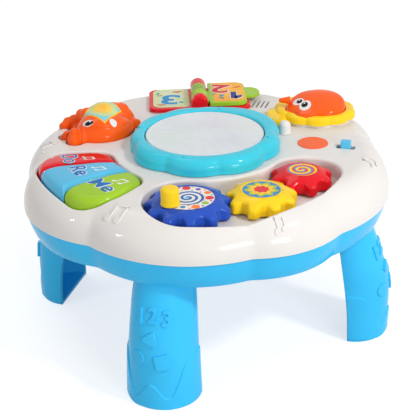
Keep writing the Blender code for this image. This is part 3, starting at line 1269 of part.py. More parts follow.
def make_key(name, colour):
    """One key: a thin shell with two lugs round the rod, a plunger and a return spring."""
    key = key_block(name, name, 0.0, KEY_BOTTOM_Z, KEY_CREST_Z + OVERRUN)
    trim(key, key_dome(name + "_dome", 0.0, KEY_BOTTOM_Z - OVERRUN))
    hollow = key_block(name + "_hollow", name, KEY_WALL, KEY_BOTTOM_Z - OVERRUN, KEY_CREST_Z)
    trim(hollow, key_dome(name + "_hollow_dome", KEY_WALL, KEY_BOTTOM_Z - OVERRUN * 2))
    cut(key, hollow)
    low, high = lug_places(name)
    for i, q in enumerate((low, high)):
        inner = math.sqrt((KEYS_INNER + KEY_WALL / 2) ** 2 - q ** 2)
        lug = box("%s_lug_%d" % (name, i), (inner, q - KEY_LUG_WIDTH / 2, KEY_HINGE_Z - KEY_LUG_RADIUS),
                  (KEY_HINGE_PLACE + KEY_LUG_RADIUS, q + KEY_LUG_WIDTH / 2, KEY_INNER_Z - KEY_WALL / 2),
                  KEYS_MIDDLE_DEG)
        trim(lug, key_block("%s_lug_limit_%d" % (name, i), name, KEY_WALL / 2, KEY_BOTTOM_Z, KEY_CREST_Z))
        join(key, lug)
    middle = sum(key_spans()[name]) / 2
    plunger_top = KEY_OUTER_Z + (KEY_CREST_Z - KEY_OUTER_Z) * KEY_PLUNGER_TOP_SHARE
    join(key, cylinder(name + "_plunger", KEY_PLUNGER_RADIUS, KEY_PLUNGER_BOTTOM_Z, plunger_top,
                       polar(KEY_PLUNGER_PLACE, middle)))
    bore = KEY_ROD_RADIUS + KEY_ROD_CLEARANCE
    half = rod_half_length() + OVERRUN
    ends = [rotated((KEY_HINGE_PLACE, q, KEY_HINGE_Z)) for q in (-half, half)]
    cut(key, lying_cylinder(name + "_bore", bore, *ends))
    part(name, pivoted(key, rotated((KEY_HINGE_PLACE, 0.0, KEY_HINGE_Z))), colour, 0.2)
    gap = KEY_LUG_WIDTH / 2 + GAP
    axis = Matrix.Rotation(math.radians(KEYS_MIDDLE_DEG), 3, "Z") @ Matrix.Rotation(-math.pi / 2, 3, "X")
    place = rotated((KEY_HINGE_PLACE, 0.0, KEY_HINGE_Z))
    room = high - low - 2 * gap - 2 * KEY_SPRING_WIRE
    turns = max(1, min(SPRING_TURNS, int(room / (3 * KEY_SPRING_WIRE))))
    spring = coil(name.replace("key_", "key_spring_"), KEY_SPRING_RADIUS, KEY_SPRING_WIRE,
                  low + gap, high - gap, place, turns, axis)
    part(name.replace("key_", "key_spring_"), spring, STEEL, 0.3, 1.0)


def rotated(point):
    """A point given along the keys' middle line, in the table's frame."""
    return tuple(Matrix.Rotation(math.radians(KEYS_MIDDLE_DEG), 3, "Z") @ Vector(point))


def make_key_parts():
    """The keys, their rod, the contact board under the well and its rubber pads."""
    for name, colour in (("key_red", RED), ("key_blue", KEY_BLUE), ("key_green", GREEN)):
        make_key(name, colour)
    half = rod_half_length()
    rod = lying_cylinder("key_rod", KEY_ROD_RADIUS, rotated((KEY_HINGE_PLACE, -half, KEY_HINGE_Z)),
                         rotated((KEY_HINGE_PLACE, half, KEY_HINGE_Z)))
    part("key_rod", rod, STEEL, 0.25, 1.0)
    board_top = KEY_WELL_BOTTOM_Z - GAP
    board = prism("key_board", keys_outline(KEY_WELL_CLEARANCE + KEY_WELL_WALL / 2),
                  board_top - KEY_BOARD_THICKNESS, board_top)
    trim(board, loft("key_board_limit", shoulder_sections(CASING_SPLIT_Z - OVERRUN, SHELL_WALL + GAP * 2)))
    part("key_board", board, BOARD_GREEN, 0.4)
    mat = prism("key_pads", keys_outline(-KEY_PAD_RADIUS), board_top + GAP, board_top + GAP + KEY_MAT_THICKNESS)
    cut(mat, cylinder("key_pads_inner", KEY_MAT_START, board_top - OVERRUN, board_top + OVERRUN,
                      segments=OUTLINE_POINTS))
    for name, (start, end) in key_spans().items():
        bump = cylinder(name.replace("key_", "key_pad_"), KEY_PAD_RADIUS, board_top + GAP + KEY_MAT_THICKNESS / 2,
                        board_top + GAP + KEY_PAD_HEIGHT, polar(KEY_PLUNGER_PLACE, (start + end) / 2),
                        top_radius=KEY_PAD_TOP_RADIUS)
        join(mat, bump)
    part("key_pads", mat, DARK, 0.7)


def press_stem(name, place, catch_top, top):
    """A press piece's stem with the catch that holds it under the tray."""
    low = catch_top - PRESS_CATCH_HEIGHT
    return turned(name, [(0.0, top), (PRESS_STEM_RADIUS, top), (PRESS_STEM_RADIUS, catch_top),
                         (PRESS_CATCH_RADIUS, catch_top), (PRESS_STEM_RADIUS, low), (0.0, low)], place,
                  SMALL_SEGMENTS)


def hollow_dome(name, outline, inner_outline, centre, bottom, edge, top):
    """A domed press piece, hollow below."""
    solid = loft(name, dome_sections(outline, centre, bottom, edge, top))
    cut(solid, loft(name + "_hollow", dome_sections(inner_outline, centre, bottom - OVERRUN,
                                                    edge - PRESS_SKIN, top - PRESS_SKIN)))
    return solid


def make_elephant():
    """The orange elephant: a domed press piece on a sprung stem."""
    bottom = ELEPHANT_WELL_FLOOR_Z + PRESS_TRAVEL + GAP
    inner = elephant_outline(-PRESS_SKIN)
    body = hollow_dome("elephant_button", elephant_outline(), inner, ELEPHANT_CENTRE, bottom, ELEPHANT_EDGE_Z,
                       ELEPHANT_TOP_Z)
    catch_top = ELEPHANT_WELL_FLOOR_Z - SHELL_WALL - GAP
    join(body, press_stem("elephant_stem", ELEPHANT_CENTRE, catch_top, ELEPHANT_TOP_Z - PRESS_SKIN / 2))
    part("elephant_button", pivoted(body, (*ELEPHANT_CENTRE, ELEPHANT_TOP_Z)), ORANGE, 0.25)
    spring = coil("elephant_spring", PRESS_SPRING_RADIUS, SPRING_WIRE_RADIUS, ELEPHANT_WELL_FLOOR_Z + GAP,
                  spring_top(ELEPHANT_TOP_Z, ELEPHANT_EDGE_Z, ELEPHANT_RADIUS), ELEPHANT_CENTRE)
    part("elephant_spring", spring, STEEL, 0.3, 1.0)


def spring_top(top, edge, radius):
    """The height under a dome at which a press spring of the common radius ends."""
    share = (PRESS_SPRING_RADIUS + SPRING_WIRE_RADIUS * 2) / (radius - PRESS_SKIN)
    return edge - PRESS_SKIN + (top - edge) * math.sqrt(1.0 - share) - GAP


def make_lion():
    """The yellow body with its arm, and the orange head that can be pressed."""
    bottom = TABLE_TOP_Z + LION_STAND_RISE + GAP
    rings = [at_height(lion_outline(), bottom),
             at_height(lion_outline(), LION_BODY_TOP_Z - LION_BODY_EDGE),
             at_height(lion_outline(-LION_BODY_EDGE * ROUNDING_SHARE),
                       LION_BODY_TOP_Z - LION_BODY_EDGE * ROUNDING_SHARE),
             at_height(lion_outline(-LION_BODY_EDGE), LION_BODY_TOP_Z)]
    body = loft("lion_body", rings)
    arm = cylinder("lion_arm", LION_ARM_RADIUS, bottom, LION_ARM_TOP_Z, LION_ARM_PLACE, ROUND_SEGMENTS)
    join(body, arm)
    head = lion_head_centre()
    floor = bottom + LION_BODY_FLOOR
    hole = oval_outline(head, LION_HEAD_HALF_LENGTH + LION_HEAD_CLEARANCE, LION_HEAD_HALF_WIDTH + LION_HEAD_CLEARANCE)
    cut(body, prism("lion_head_well", hole, floor - GAP - LION_BODY_FLOOR - OVERRUN, LION_BODY_TOP_Z + OVERRUN))
    part("lion_body", body, YELLOW, 0.25)
    outline = oval_outline(head, LION_HEAD_HALF_LENGTH, LION_HEAD_HALF_WIDTH)
    inner = oval_outline(head, LION_HEAD_HALF_LENGTH - PRESS_SKIN, LION_HEAD_HALF_WIDTH - PRESS_SKIN)
    cap = hollow_dome("lion_head", outline, inner, head, LION_HEAD_BOTTOM_Z, LION_HEAD_EDGE_Z, LION_HEAD_TOP_Z)
    snout_root = (LION_SNOUT_PLACE[0] + LION_SNOUT_LENGTH, LION_SNOUT_PLACE[1] + LION_SNOUT_RADIUS / 4,
                  LION_SNOUT_Z)
    join(cap, lying_cylinder("lion_snout", LION_SNOUT_RADIUS / 2, (*LION_SNOUT_PLACE, LION_SNOUT_Z), snout_root))
    catch_top = TABLE_TOP_Z - SHELL_WALL - GAP
    join(cap, press_stem("lion_stem", head, catch_top, LION_HEAD_TOP_Z - PRESS_SKIN / 2))
    part("lion_head", pivoted(cap, (*head, LION_HEAD_TOP_Z)), ORANGE, 0.28)
    spring = coil("lion_spring", PRESS_SPRING_RADIUS, SPRING_WIRE_RADIUS, bottom,
                  spring_top(LION_HEAD_TOP_Z, LION_HEAD_EDGE_Z, LION_HEAD_HALF_WIDTH), head)
    part("lion_spring", spring, STEEL, 0.3, 1.0)


def book_screw_places():
    """The two screws under the book's base, in the table's frame."""
    middle = (BOOK_NEAR + BOOK_FAR) / 2
    return {"book_screw_left": tuple(book_point(-BOOK_SCREW_PLACE, middle))[:2],
            "book_screw_right": tuple(book_point(BOOK_SCREW_PLACE, middle))[:2]}


def book_point(across, along, height=0.0):
    """A point given across and along the book's spine, in the table's frame."""
    return Matrix.Rotation(math.radians(BOOK_TURN_DEG), 3, "Z") @ Vector((across, along, height))


def spine(name, radius, start, end, segments=ROUND_SEGMENTS):
    """A cylinder about the book's spine."""
    return lying_cylinder(name, radius, book_point(0.0, start, SPINE_Z), book_point(0.0, end, SPINE_Z), segments)


def make_book():
    """The base with its end knuckles, the page with the middle knuckle, the pin and two screws."""
    bottom = TABLE_TOP_Z + BOOK_STAND_RISE + GAP
    base = bevel(box("book_base", (-BOOK_HALF_SPAN, BOOK_NEAR, bottom), (BOOK_HALF_SPAN, BOOK_FAR, BOOK_BASE_TOP_Z),
                     BOOK_TURN_DEG), BOOK_EDGE)
    join(base, spine("near_knuckle", SPINE_RADIUS, BOOK_NEAR - BITE, SPINE_NEAR_END - SPINE_CLEARANCE / 2))
    join(base, spine("far_knuckle", SPINE_RADIUS, SPINE_FAR_START + SPINE_CLEARANCE / 2, SPINE_FAR_END))
    cut(base, spine("page_knuckle_room", SPINE_RADIUS + SPINE_CLEARANCE, SPINE_NEAR_END - SPINE_CLEARANCE / 2,
                    SPINE_FAR_START + SPINE_CLEARANCE / 2))
    pin_bore = BOOK_PIN_RADIUS + BOOK_PIN_CLEARANCE
    pin_start, pin_end = BOOK_NEAR + BOOK_PIN_INSET, SPINE_FAR_END - BOOK_PIN_INSET
    cut(base, spine("base_pin_bore", pin_bore, pin_start - GAP, pin_end + GAP, SMALL_SEGMENTS))
    head_z = TABLE_TOP_Z - SHELL_WALL - GAP
    for name, place in book_screw_places().items():
        cut(base, pilot(name + "_base_bore", place, bottom - OVERRUN, head_z + BOOK_SCREW_LENGTH + GAP))
        part(name, screw_solid(name, place, head_z, BOOK_SCREW_LENGTH), STEEL, 0.3, 1.0)
    part("book_base", base, RED, 0.25)
    page = box("book_page", (PAGE_INNER, PAGE_NEAR, PAGE_BOTTOM_Z), (PAGE_OUTER, PAGE_FAR, PAGE_TOP_Z), BOOK_TURN_DEG)
    join(page, box("page_tab", (PAGE_OUTER - BITE, TAB_NEAR, PAGE_BOTTOM_Z + BITE), (TAB_OUTER, TAB_FAR, TAB_TOP_Z),
                   BOOK_TURN_DEG))
    join(page, box("page_root", (0.0, SPINE_NEAR_END + SPINE_CLEARANCE / 2 + BITE, PAGE_BOTTOM_Z + BITE),
                   (PAGE_INNER + BITE, SPINE_FAR_START - SPINE_CLEARANCE / 2 - BITE, PAGE_TOP_Z - BITE),
                   BOOK_TURN_DEG))
    join(page, spine("page_knuckle", SPINE_RADIUS, SPINE_NEAR_END + SPINE_CLEARANCE / 2,
                     SPINE_FAR_START - SPINE_CLEARANCE / 2))
    cut(page, spine("page_pin_bore", pin_bore, SPINE_NEAR_END - OVERRUN, SPINE_FAR_START + OVERRUN, SMALL_SEGMENTS))
    part("book_page", pivoted(page, book_point(0.0, PAGE_NEAR, SPINE_Z)), GREEN, 0.25)
    part("book_pin", spine("book_pin", BOOK_PIN_RADIUS, pin_start, pin_end, SMALL_SEGMENTS), STEEL, 0.3, 1.0)


def make_small_pieces():
    """The white post, the bare badge plate, the switch and the speaker."""
    post_bottom = TABLE_TOP_Z + GAP
    post = [(0.0, POST_TOP_Z), (POST_RADIUS - POST_ROUND, POST_TOP_Z),
            (POST_RADIUS - POST_ROUND * ROUNDING_SHARE, POST_TOP_Z - POST_ROUND * ROUNDING_SHARE),
            (POST_RADIUS, POST_TOP_Z - POST_ROUND),
            (POST_RADIUS, post_bottom), (POST_STEM_RADIUS, post_bottom),
            (POST_STEM_RADIUS, post_bottom - POST_STEM_LENGTH), (0.0, post_bottom - POST_STEM_LENGTH)]
    part("white_post", turned("white_post", post, POST_PLACE), WHITE, 0.25)
    badge = cylinder("badge_plate", BADGE_RADIUS, TABLE_TOP_Z + GAP / 3, TABLE_TOP_Z + BADGE_THICKNESS, BADGE_PLACE,
                     ROUND_SEGMENTS)
    part("badge_plate", badge, ORANGE, 0.4)
    x, y = SWITCH_PLACE
    half_length, half_width = SWITCH_SLIDER_LENGTH / 2, SWITCH_SLIDER_WIDTH / 2
    slider = box("switch_slider", (x - half_length, y - half_width, SWITCH_SLIDER_BOTTOM_Z),
                 (x + half_length, y + half_width, SWITCH_SLIDER_TOP_Z))
    pivoted(slider, (x, y, SWITCH_SLIDER_TOP_Z))
    part("switch_slider", bevel(slider, SWITCH_SLIDER_EDGE), KEY_BLUE, 0.3)
    body_top = TABLE_TOP_Z - SHELL_WALL - SWITCH_BODY_GAP
    body = box("switch_body", (x - SWITCH_BODY_LENGTH / 2, y - SWITCH_BODY_WIDTH / 2, SWITCH_BODY_BOTTOM_Z),
               (x + SWITCH_BODY_LENGTH / 2, y + SWITCH_BODY_WIDTH / 2, body_top))
    track_half = SWITCH_SLOT_LENGTH / 2
    cut(body, box("switch_track", (x - track_half, y - half_width - SWITCH_TRACK_CLEARANCE,
                                   SWITCH_SLIDER_BOTTOM_Z - GAP),
                  (x + track_half, y + half_width + SWITCH_TRACK_CLEARANCE, body_top + OVERRUN)))
    part("switch_body", body, DARK, 0.5)
    rim_top = TABLE_TOP_Z - SHELL_WALL - GAP
    low = rim_top - SPEAKER_DEPTH
    magnet_top = low + SPEAKER_MAGNET_HEIGHT
    speaker = [(0.0, magnet_top + SPEAKER_RIM), (SPEAKER_CONE_RADIUS, magnet_top + SPEAKER_RIM),
               (SPEAKER_RADIUS - SPEAKER_RIM, rim_top), (SPEAKER_RADIUS, rim_top),
               (SPEAKER_RADIUS, rim_top - SPEAKER_RIM), (SPEAKER_MAGNET_RADIUS, magnet_top),
               (SPEAKER_MAGNET_RADIUS, low), (0.0, low)]
    part("speaker", turned("speaker", speaker, SPEAKER_PLACE), DARK, 0.5)


def build():
    """Makes every sub-part of the table."""
    start_scene()
    make_top_shell()
    make_base_shell()
    for name, direction in LEG_DIRECTIONS.items():
        make_leg(name, direction)
    make_battery_parts()
    make_shell_screws()
    make_drum()
    make_board()
    for colour_name, colour in (("blue", DEEP_BLUE), ("yellow", YELLOW), ("red", RED)):
        make_gear(colour_name, colour)
    make_knob()
    make_key_parts()
    make_elephant()
    make_lion()
    make_book()
    make_small_pieces()


build()
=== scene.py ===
# %% [markdown]
# # A musical activity table
#
# A baby sits or stands at this low table and hits, turns and slides what is on it. A white lobed
# tray sits in a sky-blue casing on four channel legs. On the tray are a light-up drum, three keys,
# three meshing gears, a small hinged book, an elephant and a lion's head to press, a switch and a
# grille. The frame gives every CAD part in metres, one leg towards -Y. Each piece below is
# modelled finely where the CAD part is plain, and rides on the CAD body that it belongs to.

# %% Load the frame
import math

import bmesh
import bpy
import numpy as np
from mathutils import Matrix, Vector, noise


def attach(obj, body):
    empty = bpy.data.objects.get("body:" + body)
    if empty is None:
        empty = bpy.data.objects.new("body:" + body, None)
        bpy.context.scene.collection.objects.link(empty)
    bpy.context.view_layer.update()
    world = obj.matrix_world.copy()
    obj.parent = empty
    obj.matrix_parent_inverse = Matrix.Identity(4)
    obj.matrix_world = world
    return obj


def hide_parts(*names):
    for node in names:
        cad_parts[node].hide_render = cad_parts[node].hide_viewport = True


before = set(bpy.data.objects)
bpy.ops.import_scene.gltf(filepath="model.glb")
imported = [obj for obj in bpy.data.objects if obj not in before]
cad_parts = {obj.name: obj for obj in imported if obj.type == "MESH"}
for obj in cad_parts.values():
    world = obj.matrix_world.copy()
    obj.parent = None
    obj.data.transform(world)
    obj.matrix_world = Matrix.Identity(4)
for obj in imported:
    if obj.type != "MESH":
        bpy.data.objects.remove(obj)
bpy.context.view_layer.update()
MM = 0.001

# %% [markdown]
# ## Camera
#
# The camera stands a little to the right of the front leg and looks down at about 26 degrees. Its
# place was solved from points on the table whose places are known. A long lens keeps the tray's
# ellipse round, as a product photographer would, and the picture leans by about a degree.

# %% Camera
CAMERA_PLACE = Vector((0.2168, -0.7543, 0.4746))
CAMERA_AIM = Vector((-0.2471, 0.8651, -0.4366)).normalized()
CAMERA_ROLL_DEG = -1.354


def stand_camera():
    """The photograph's viewpoint, with the picture's small lean."""
    lens = bpy.data.cameras.new("camera")
    lens.lens, lens.sensor_width = 91.1, 36.0
    camera = bpy.data.objects.new("camera", lens)
    right = CAMERA_AIM.cross(Vector((0.0, 0.0, 1.0))).normalized()
    up = right.cross(CAMERA_AIM)
    roll = math.radians(CAMERA_ROLL_DEG)
    across = math.cos(roll) * right + math.sin(roll) * up
    along = -math.sin(roll) * right + math.cos(roll) * up
    camera.matrix_world = Matrix.Translation(CAMERA_PLACE) @ Matrix((across, along, -CAMERA_AIM)).transposed().to_4x4()
    bpy.context.scene.collection.objects.link(camera)
    bpy.context.scene.camera = camera
    return camera


print("camera at", [round(v, 3) for v in stand_camera().location])

# %% [markdown]
# ## Floor, backdrop and light
#
# The picture has a white studio ground. The floor stays a real surface, so it keeps the table's
# shadow, and it adds a little of its own brightness for camera rays only. A big soft lamp from the
# right and above draws the long highlights on the glossy plastic. A weaker one from the left keeps
# the shaded side open. Together they light a surface to about the colour that it is given.

# %% Floor and backdrop


def node(tree, kind, inputs=None, **settings):
    """Adds a shader node; an input is given as a value or as the socket that feeds it."""
    made = tree.nodes.new("ShaderNode" + kind)
    for key, value in settings.items():
        setattr(made, key, value)
    for key, value in (inputs or {}).items():
        if isinstance(value, bpy.types.NodeSocket):
            tree.links.new(value, made.inputs[key])
        else:
            made.inputs[key].default_value = value
    return made


def calc(tree, operation, *values):
    """A Math node's result."""
    return node(tree, "Math", dict(enumerate(values)), operation=operation).outputs[0]


def seen_rays(tree):
    """One for camera, glossy and transmission rays, which show the backdrop itself."""
    path = node(tree, "LightPath").outputs
    first = calc(tree, "MAXIMUM", path["Is Camera Ray"], path["Is Glossy Ray"])
    return calc(tree, "MAXIMUM", first, path["Is Transmission Ray"])


FLOOR_COLOUR, FLOOR_GLOW, AMBIENT = 0.60, 0.64, 0.50


def lay_floor():
    """A wide floor that shows as white where it is lit and keeps the shadow."""
    floor_bm = bmesh.new()
    bmesh.ops.create_grid(floor_bm, x_segments=8, y_segments=8, size=6.0)
    mesh = bpy.data.meshes.new("floor")
    floor_bm.to_mesh(mesh)
    floor_bm.free()
    floor = bpy.data.objects.new("floor", mesh)
    bpy.context.scene.collection.objects.link(floor)
    paper = bpy.data.materials.new("studio_floor")
    paper.use_nodes = True
    tree = paper.node_tree
    tree.nodes.clear()
    matt = node(tree, "BsdfDiffuse", {"Color": (FLOOR_COLOUR, FLOOR_COLOUR, FLOOR_COLOUR, 1.0)})
    glow = node(tree, "Emission", {"Color": (1.0, 1.0, 1.0, 1.0), "Strength": calc(tree, "MULTIPLY", seen_rays(tree), FLOOR_GLOW)})
    both = node(tree, "AddShader", {0: matt.outputs[0], 1: glow.outputs[0]})
    node(tree, "OutputMaterial", {"Surface": both.outputs[0]})
    mesh.materials.append(paper)
    return floor


def light_world():
    """An even pale surround, white where the camera sees it."""
    world = bpy.data.worlds.new("studio")
    world.use_nodes = True
    tree = world.node_tree
    tree.nodes.clear()
    seen = seen_rays(tree)
    strength = calc(tree, "MULTIPLY_ADD", seen, 1.0 - AMBIENT, AMBIENT)
    sky = node(tree, "Background", {"Color": (1.0, 1.0, 1.0, 1.0), "Strength": strength})
    node(tree, "OutputWorld", {"Surface": sky.outputs[0]})
    bpy.context.scene.world = world


lay_floor()
light_world()
bpy.context.scene.view_settings.view_transform = "Standard"

# %% Lamps
TABLE_MIDDLE = Vector((0.0, 0.0, 0.12))
LAMPS = {
    "key_lamp": ((0.95, -0.35, 1.05), 0.20, 0.16, 7.2),
    "front_lamp": ((1.05, -1.05, 0.40), 0.50, 0.30, 6.5),
    "fill_lamp": ((-0.95, -0.85, 0.60), 0.10, 0.10, 1.8),
    "top_lamp": ((-0.45, 0.45, 1.30), 0.60, 0.40, 1.6),
}


def hang_lamp(name, place, width, height, watts):
    """A soft box that faces the table."""
    lamp = bpy.data.lights.new(name, "AREA")
    lamp.shape, lamp.size, lamp.size_y, lamp.energy = "RECTANGLE", width, height, watts
    made = bpy.data.objects.new(name, lamp)
    made.location = place
    made.rotation_euler = (TABLE_MIDDLE - made.location).to_track_quat("-Z", "Y").to_euler()
    bpy.context.scene.collection.objects.link(made)
    return made


for lamp_name, (place, width, height, watts) in LAMPS.items():
    hang_lamp(lamp_name, place, width, height, watts)
print("lamps:", ", ".join(LAMPS))

# %% [markdown]
# ## Moulded plastic
#
# The toy is nearly all glossy injection-moulded plastic. Such a surface is never one flat colour:
# the melt leaves faint clouds, the polished mould leaves a fine grain in the gloss, and handled
# edges go slightly paler. One helper builds this on any colour, plain or printed, so every
# finish shares it. Clouds and grain read object coordinates, so they stay put as pieces move.

# %% Finishes


def new_finish(name):
    """A new material, its tree and its shader."""
    made = bpy.data.materials.new(name)
    made.use_nodes = True
    return made, made.node_tree, made.node_tree.nodes["Principled BSDF"]


def shade(tree, kind, first, second, share):
    """Blends two colours; a share may be a value or a socket."""
    made = node(tree, "Mix", data_type="RGBA", blend_type=kind, clamp_factor=True)
    for index, value in ((0, share), (6, first), (7, second)):
        if isinstance(value, bpy.types.NodeSocket):
            tree.links.new(value, made.inputs[index])
        else:
            made.inputs[index].default_value = value if index == 0 else (*value[:3], 1.0)
    return made.outputs[2]


def spread(tree, value, low, high, to_low, to_high):
    """A Map Range node's result."""
    return node(tree, "MapRange", {"Value": value, "From Min": low, "From Max": high,
                                   "To Min": to_low, "To Max": to_high}).outputs["Result"]


def object_place(tree, centre=(0.0, 0.0, 0.0)):
    """Object coordinates, counted from a centre."""
    coords = node(tree, "TexCoord").outputs["Object"]
    return node(tree, "Mapping", {"Vector": coords, "Location": tuple(-v for v in centre)}).outputs[0]


def moulded_over(tree, shader, colour, roughness, clouds=0.05, grain=0.06, wear=0.03, coat=0.25):
    """Gives a colour the clouds, the grain and the pale edges of moulded plastic."""
    place = object_place(tree)
    cloud = node(tree, "TexNoise", {"Vector": place, "Scale": 26.0, "Detail": 3.0}).outputs["Fac"]
    fine = node(tree, "TexNoise", {"Vector": place, "Scale": 1400.0, "Detail": 2.0}).outputs["Fac"]
    smudge = node(tree, "TexNoise", {"Vector": place, "Scale": 85.0, "Detail": 4.0}).outputs["Fac"]
    level = spread(tree, cloud, 0.3, 0.7, 1.0 - clouds, 1.0 + clouds / 2)
    grey = node(tree, "CombineColor", {0: level, 1: level, 2: level}).outputs[0]
    clouded = shade(tree, "MULTIPLY", colour, (1.0, 1.0, 1.0), 1.0)
    tree.links.new(grey, clouded.node.inputs[7])
    edge = spread(tree, node(tree, "NewGeometry").outputs["Pointiness"], 0.56, 0.66, 0.0, wear)
    worn = shade(tree, "MIX", clouded, (0.95, 0.95, 0.95), edge)
    tree.links.new(worn, shader.inputs["Base Color"])
    gloss = calc(tree, "ADD", spread(tree, smudge, 0.3, 0.7, roughness - 0.04, roughness + 0.05),
                 calc(tree, "MULTIPLY", edge, 0.8))
    tree.links.new(gloss, shader.inputs["Roughness"])
    bump = node(tree, "Bump", {"Height": fine, "Strength": grain, "Distance": 0.0002})
    tree.links.new(bump.outputs[0], shader.inputs["Normal"])
    shader.inputs["Coat Weight"].default_value = coat * 0.6
    shader.inputs["Coat Roughness"].default_value = 0.03
    shader.inputs["IOR"].default_value = 1.5
    shader.inputs["Specular IOR Level"].default_value = 0.05


def moulded(name, colour, roughness=0.24, **more):
    """Moulded plastic of one colour."""
    made, tree, shader = new_finish(name)
    moulded_over(tree, shader, colour, roughness, **more)
    return made


def metal(name, colour, roughness):
    """Drawn or plated metal: fine scratches along one way and a slightly uneven shine."""
    made, tree, shader = new_finish(name)
    place = node(tree, "Mapping", {"Vector": object_place(tree), "Scale": (1.0, 1.0, 9.0)}).outputs[0]
    scratch = node(tree, "TexNoise", {"Vector": place, "Scale": 420.0, "Detail": 3.0}).outputs["Fac"]
    tree.links.new(shade(tree, "MIX", colour, tuple(v * 0.82 for v in colour), scratch), shader.inputs["Base Color"])
    tree.links.new(spread(tree, scratch, 0.3, 0.7, roughness - 0.06, roughness + 0.1), shader.inputs["Roughness"])
    bump = node(tree, "Bump", {"Height": scratch, "Strength": 0.08, "Distance": 0.0002})
    tree.links.new(bump.outputs[0], shader.inputs["Normal"])
    shader.inputs["Metallic"].default_value = 1.0
    return made


WHITE = (0.80, 0.765, 0.735)
SKY_BLUE = (0.045, 0.55, 0.95)
TURQUOISE = (0.045, 0.60, 0.76)
ORANGE = (1.0, 0.115, 0.005)
YELLOW = (1.0, 0.66, 0.015)
RED = (0.80, 0.008, 0.016)
GREEN = (0.36, 0.60, 0.03)
KEY_BLUE = (0.10, 0.53, 0.82)
DEEP_BLUE = (0.022, 0.085, 0.50)
NAVY = (0.02, 0.035, 0.20)

FINISHES = {
    "white_plastic": moulded("white_plastic", WHITE, 0.22, clouds=0.02, coat=0.35),
    "sky_plastic": moulded("sky_plastic", SKY_BLUE, 0.24),
    "turquoise_plastic": moulded("turquoise_plastic", TURQUOISE, 0.16, coat=0.5),
    "orange_plastic": moulded("orange_plastic", ORANGE, 0.18, clouds=0.06, coat=0.5),
    "yellow_plastic": moulded("yellow_plastic", YELLOW, 0.20, coat=0.4),
    "red_plastic": moulded("red_plastic", RED, 0.18, coat=0.5),
    "green_plastic": moulded("green_plastic", GREEN, 0.20, coat=0.4),
    "light_blue_plastic": moulded("light_blue_plastic", KEY_BLUE, 0.18, coat=0.5),
    "deep_blue_plastic": moulded("deep_blue_plastic", DEEP_BLUE, 0.22, coat=0.4),
    "dark_plastic": moulded("dark_plastic", (0.025, 0.025, 0.028), 0.42, coat=0.0),
    "board": moulded("board", (0.02, 0.20, 0.07), 0.38, clouds=0.15, grain=0.2, coat=0.1),
    "pad_rubber": moulded("pad_rubber", (0.05, 0.05, 0.055), 0.62, grain=0.3, coat=0.0),
    "steel": metal("steel", (0.62, 0.62, 0.63), 0.28),
}
print("finishes:", ", ".join(FINISHES))

# %% [markdown]
# ## Shaping tools
#
# Most pieces here are lids: an outline seen from above, with walls and a rounded, domed top. A
# loft does that well. It starts from a circle of edges, extrudes the ring again and again, and
# puts each new ring on a section of the piece. Openings are then cut with exact booleans, so rims
# stay crisp, and weighted normals keep the broad flat faces clean in the reflections.

# %% Lofts


def loft_bm(rings, loop=False):
    """A closed shape through rings of points; in a loop the last ring meets the first."""
    bm = bmesh.new()
    bmesh.ops.create_circle(bm, cap_ends=not loop, segments=len(rings[0]), radius=1.0)
    bm.verts.ensure_lookup_table()
    first = ring = list(bm.verts)
    for vert, place in zip(ring, rings[0]):
        vert.co = place
    for section in rings[1:]:
        pairs = zip(ring, ring[1:] + ring[:1])
        edges = [next(e for e in a.link_edges if e.other_vert(a) is b) for a, b in pairs]
        made = bmesh.ops.extrude_edge_only(bm, edges=edges)["geom"]
        fresh = {v for v in made if isinstance(v, bmesh.types.BMVert)}
        ring = [next(e.other_vert(v) for e in v.link_edges if e.other_vert(v) in fresh) for v in ring]
        for vert, place in zip(ring, section):
            vert.co = place
    if loop:
        ends = [[next(e for e in a.link_edges if e.other_vert(a) is b) for a, b in zip(r, r[1:] + r[:1])]
                for r in (first, ring)]
        bmesh.ops.bridge_loops(bm, edges=ends[0] + ends[1])
    else:
        bmesh.ops.contextual_create(bm, geom=ring)
    bmesh.ops.recalc_face_normals(bm, faces=bm.faces)
    return bm


def solid(name, bm):
    """An object from a bmesh, at the origin."""
    mesh = bpy.data.meshes.new(name)
    bm.to_mesh(mesh)
    bm.free()
    made = bpy.data.objects.new(name, mesh)
    bpy.context.scene.collection.objects.link(made)
    return made


def settled(obj):
    """Applies an object's modifiers to its mesh."""
    bpy.context.view_layer.update()
    graph = bpy.context.evaluated_depsgraph_get()
    mesh = bpy.data.meshes.new_from_object(obj.evaluated_get(graph), depsgraph=graph)
    obj.modifiers.clear()
    obj.data = mesh
    return obj


def carve(obj, operation, *tools):
    """Cuts other solids out of one, or joins them to it, one exact boolean each."""
    for tool in tools:
        step = obj.modifiers.new(tool.name, "BOOLEAN")
        step.operation, step.solver, step.object = operation, "EXACT", tool
        settled(obj)
        bpy.data.objects.remove(tool, do_unlink=True)
    return obj


def merged(name, *objects):
    """Several separate solids as one object."""
    bm = bmesh.new()
    for obj in objects:
        bm.from_mesh(obj.data)
        bpy.data.objects.remove(obj, do_unlink=True)
    return solid(name, bm)


def at_height(outline, height):
    """Lifts a flat outline to a height."""
    return [(x, y, height) for x, y in outline]


def column(name, outline, bottom, top):
    """An upright solid over an outline."""
    return solid(name, loft_bm([at_height(outline, bottom), at_height(outline, top)]))


def circle(radius, centre=(0.0, 0.0), count=48):
    """Points round a circle."""
    return [(centre[0] + radius * math.cos(math.tau * i / count), centre[1] + radius * math.sin(math.tau * i / count))
            for i in range(count)]


def box_outline(low, high, turn=0.0):
    """Corners of a rectangle, turned about the table's axis."""
    corners = ((low[0], low[1]), (high[0], low[1]), (high[0], high[1]), (low[0], high[1]))
    c, s = math.cos(turn), math.sin(turn)
    return [(x * c - y * s, x * s + y * c) for x, y in corners]


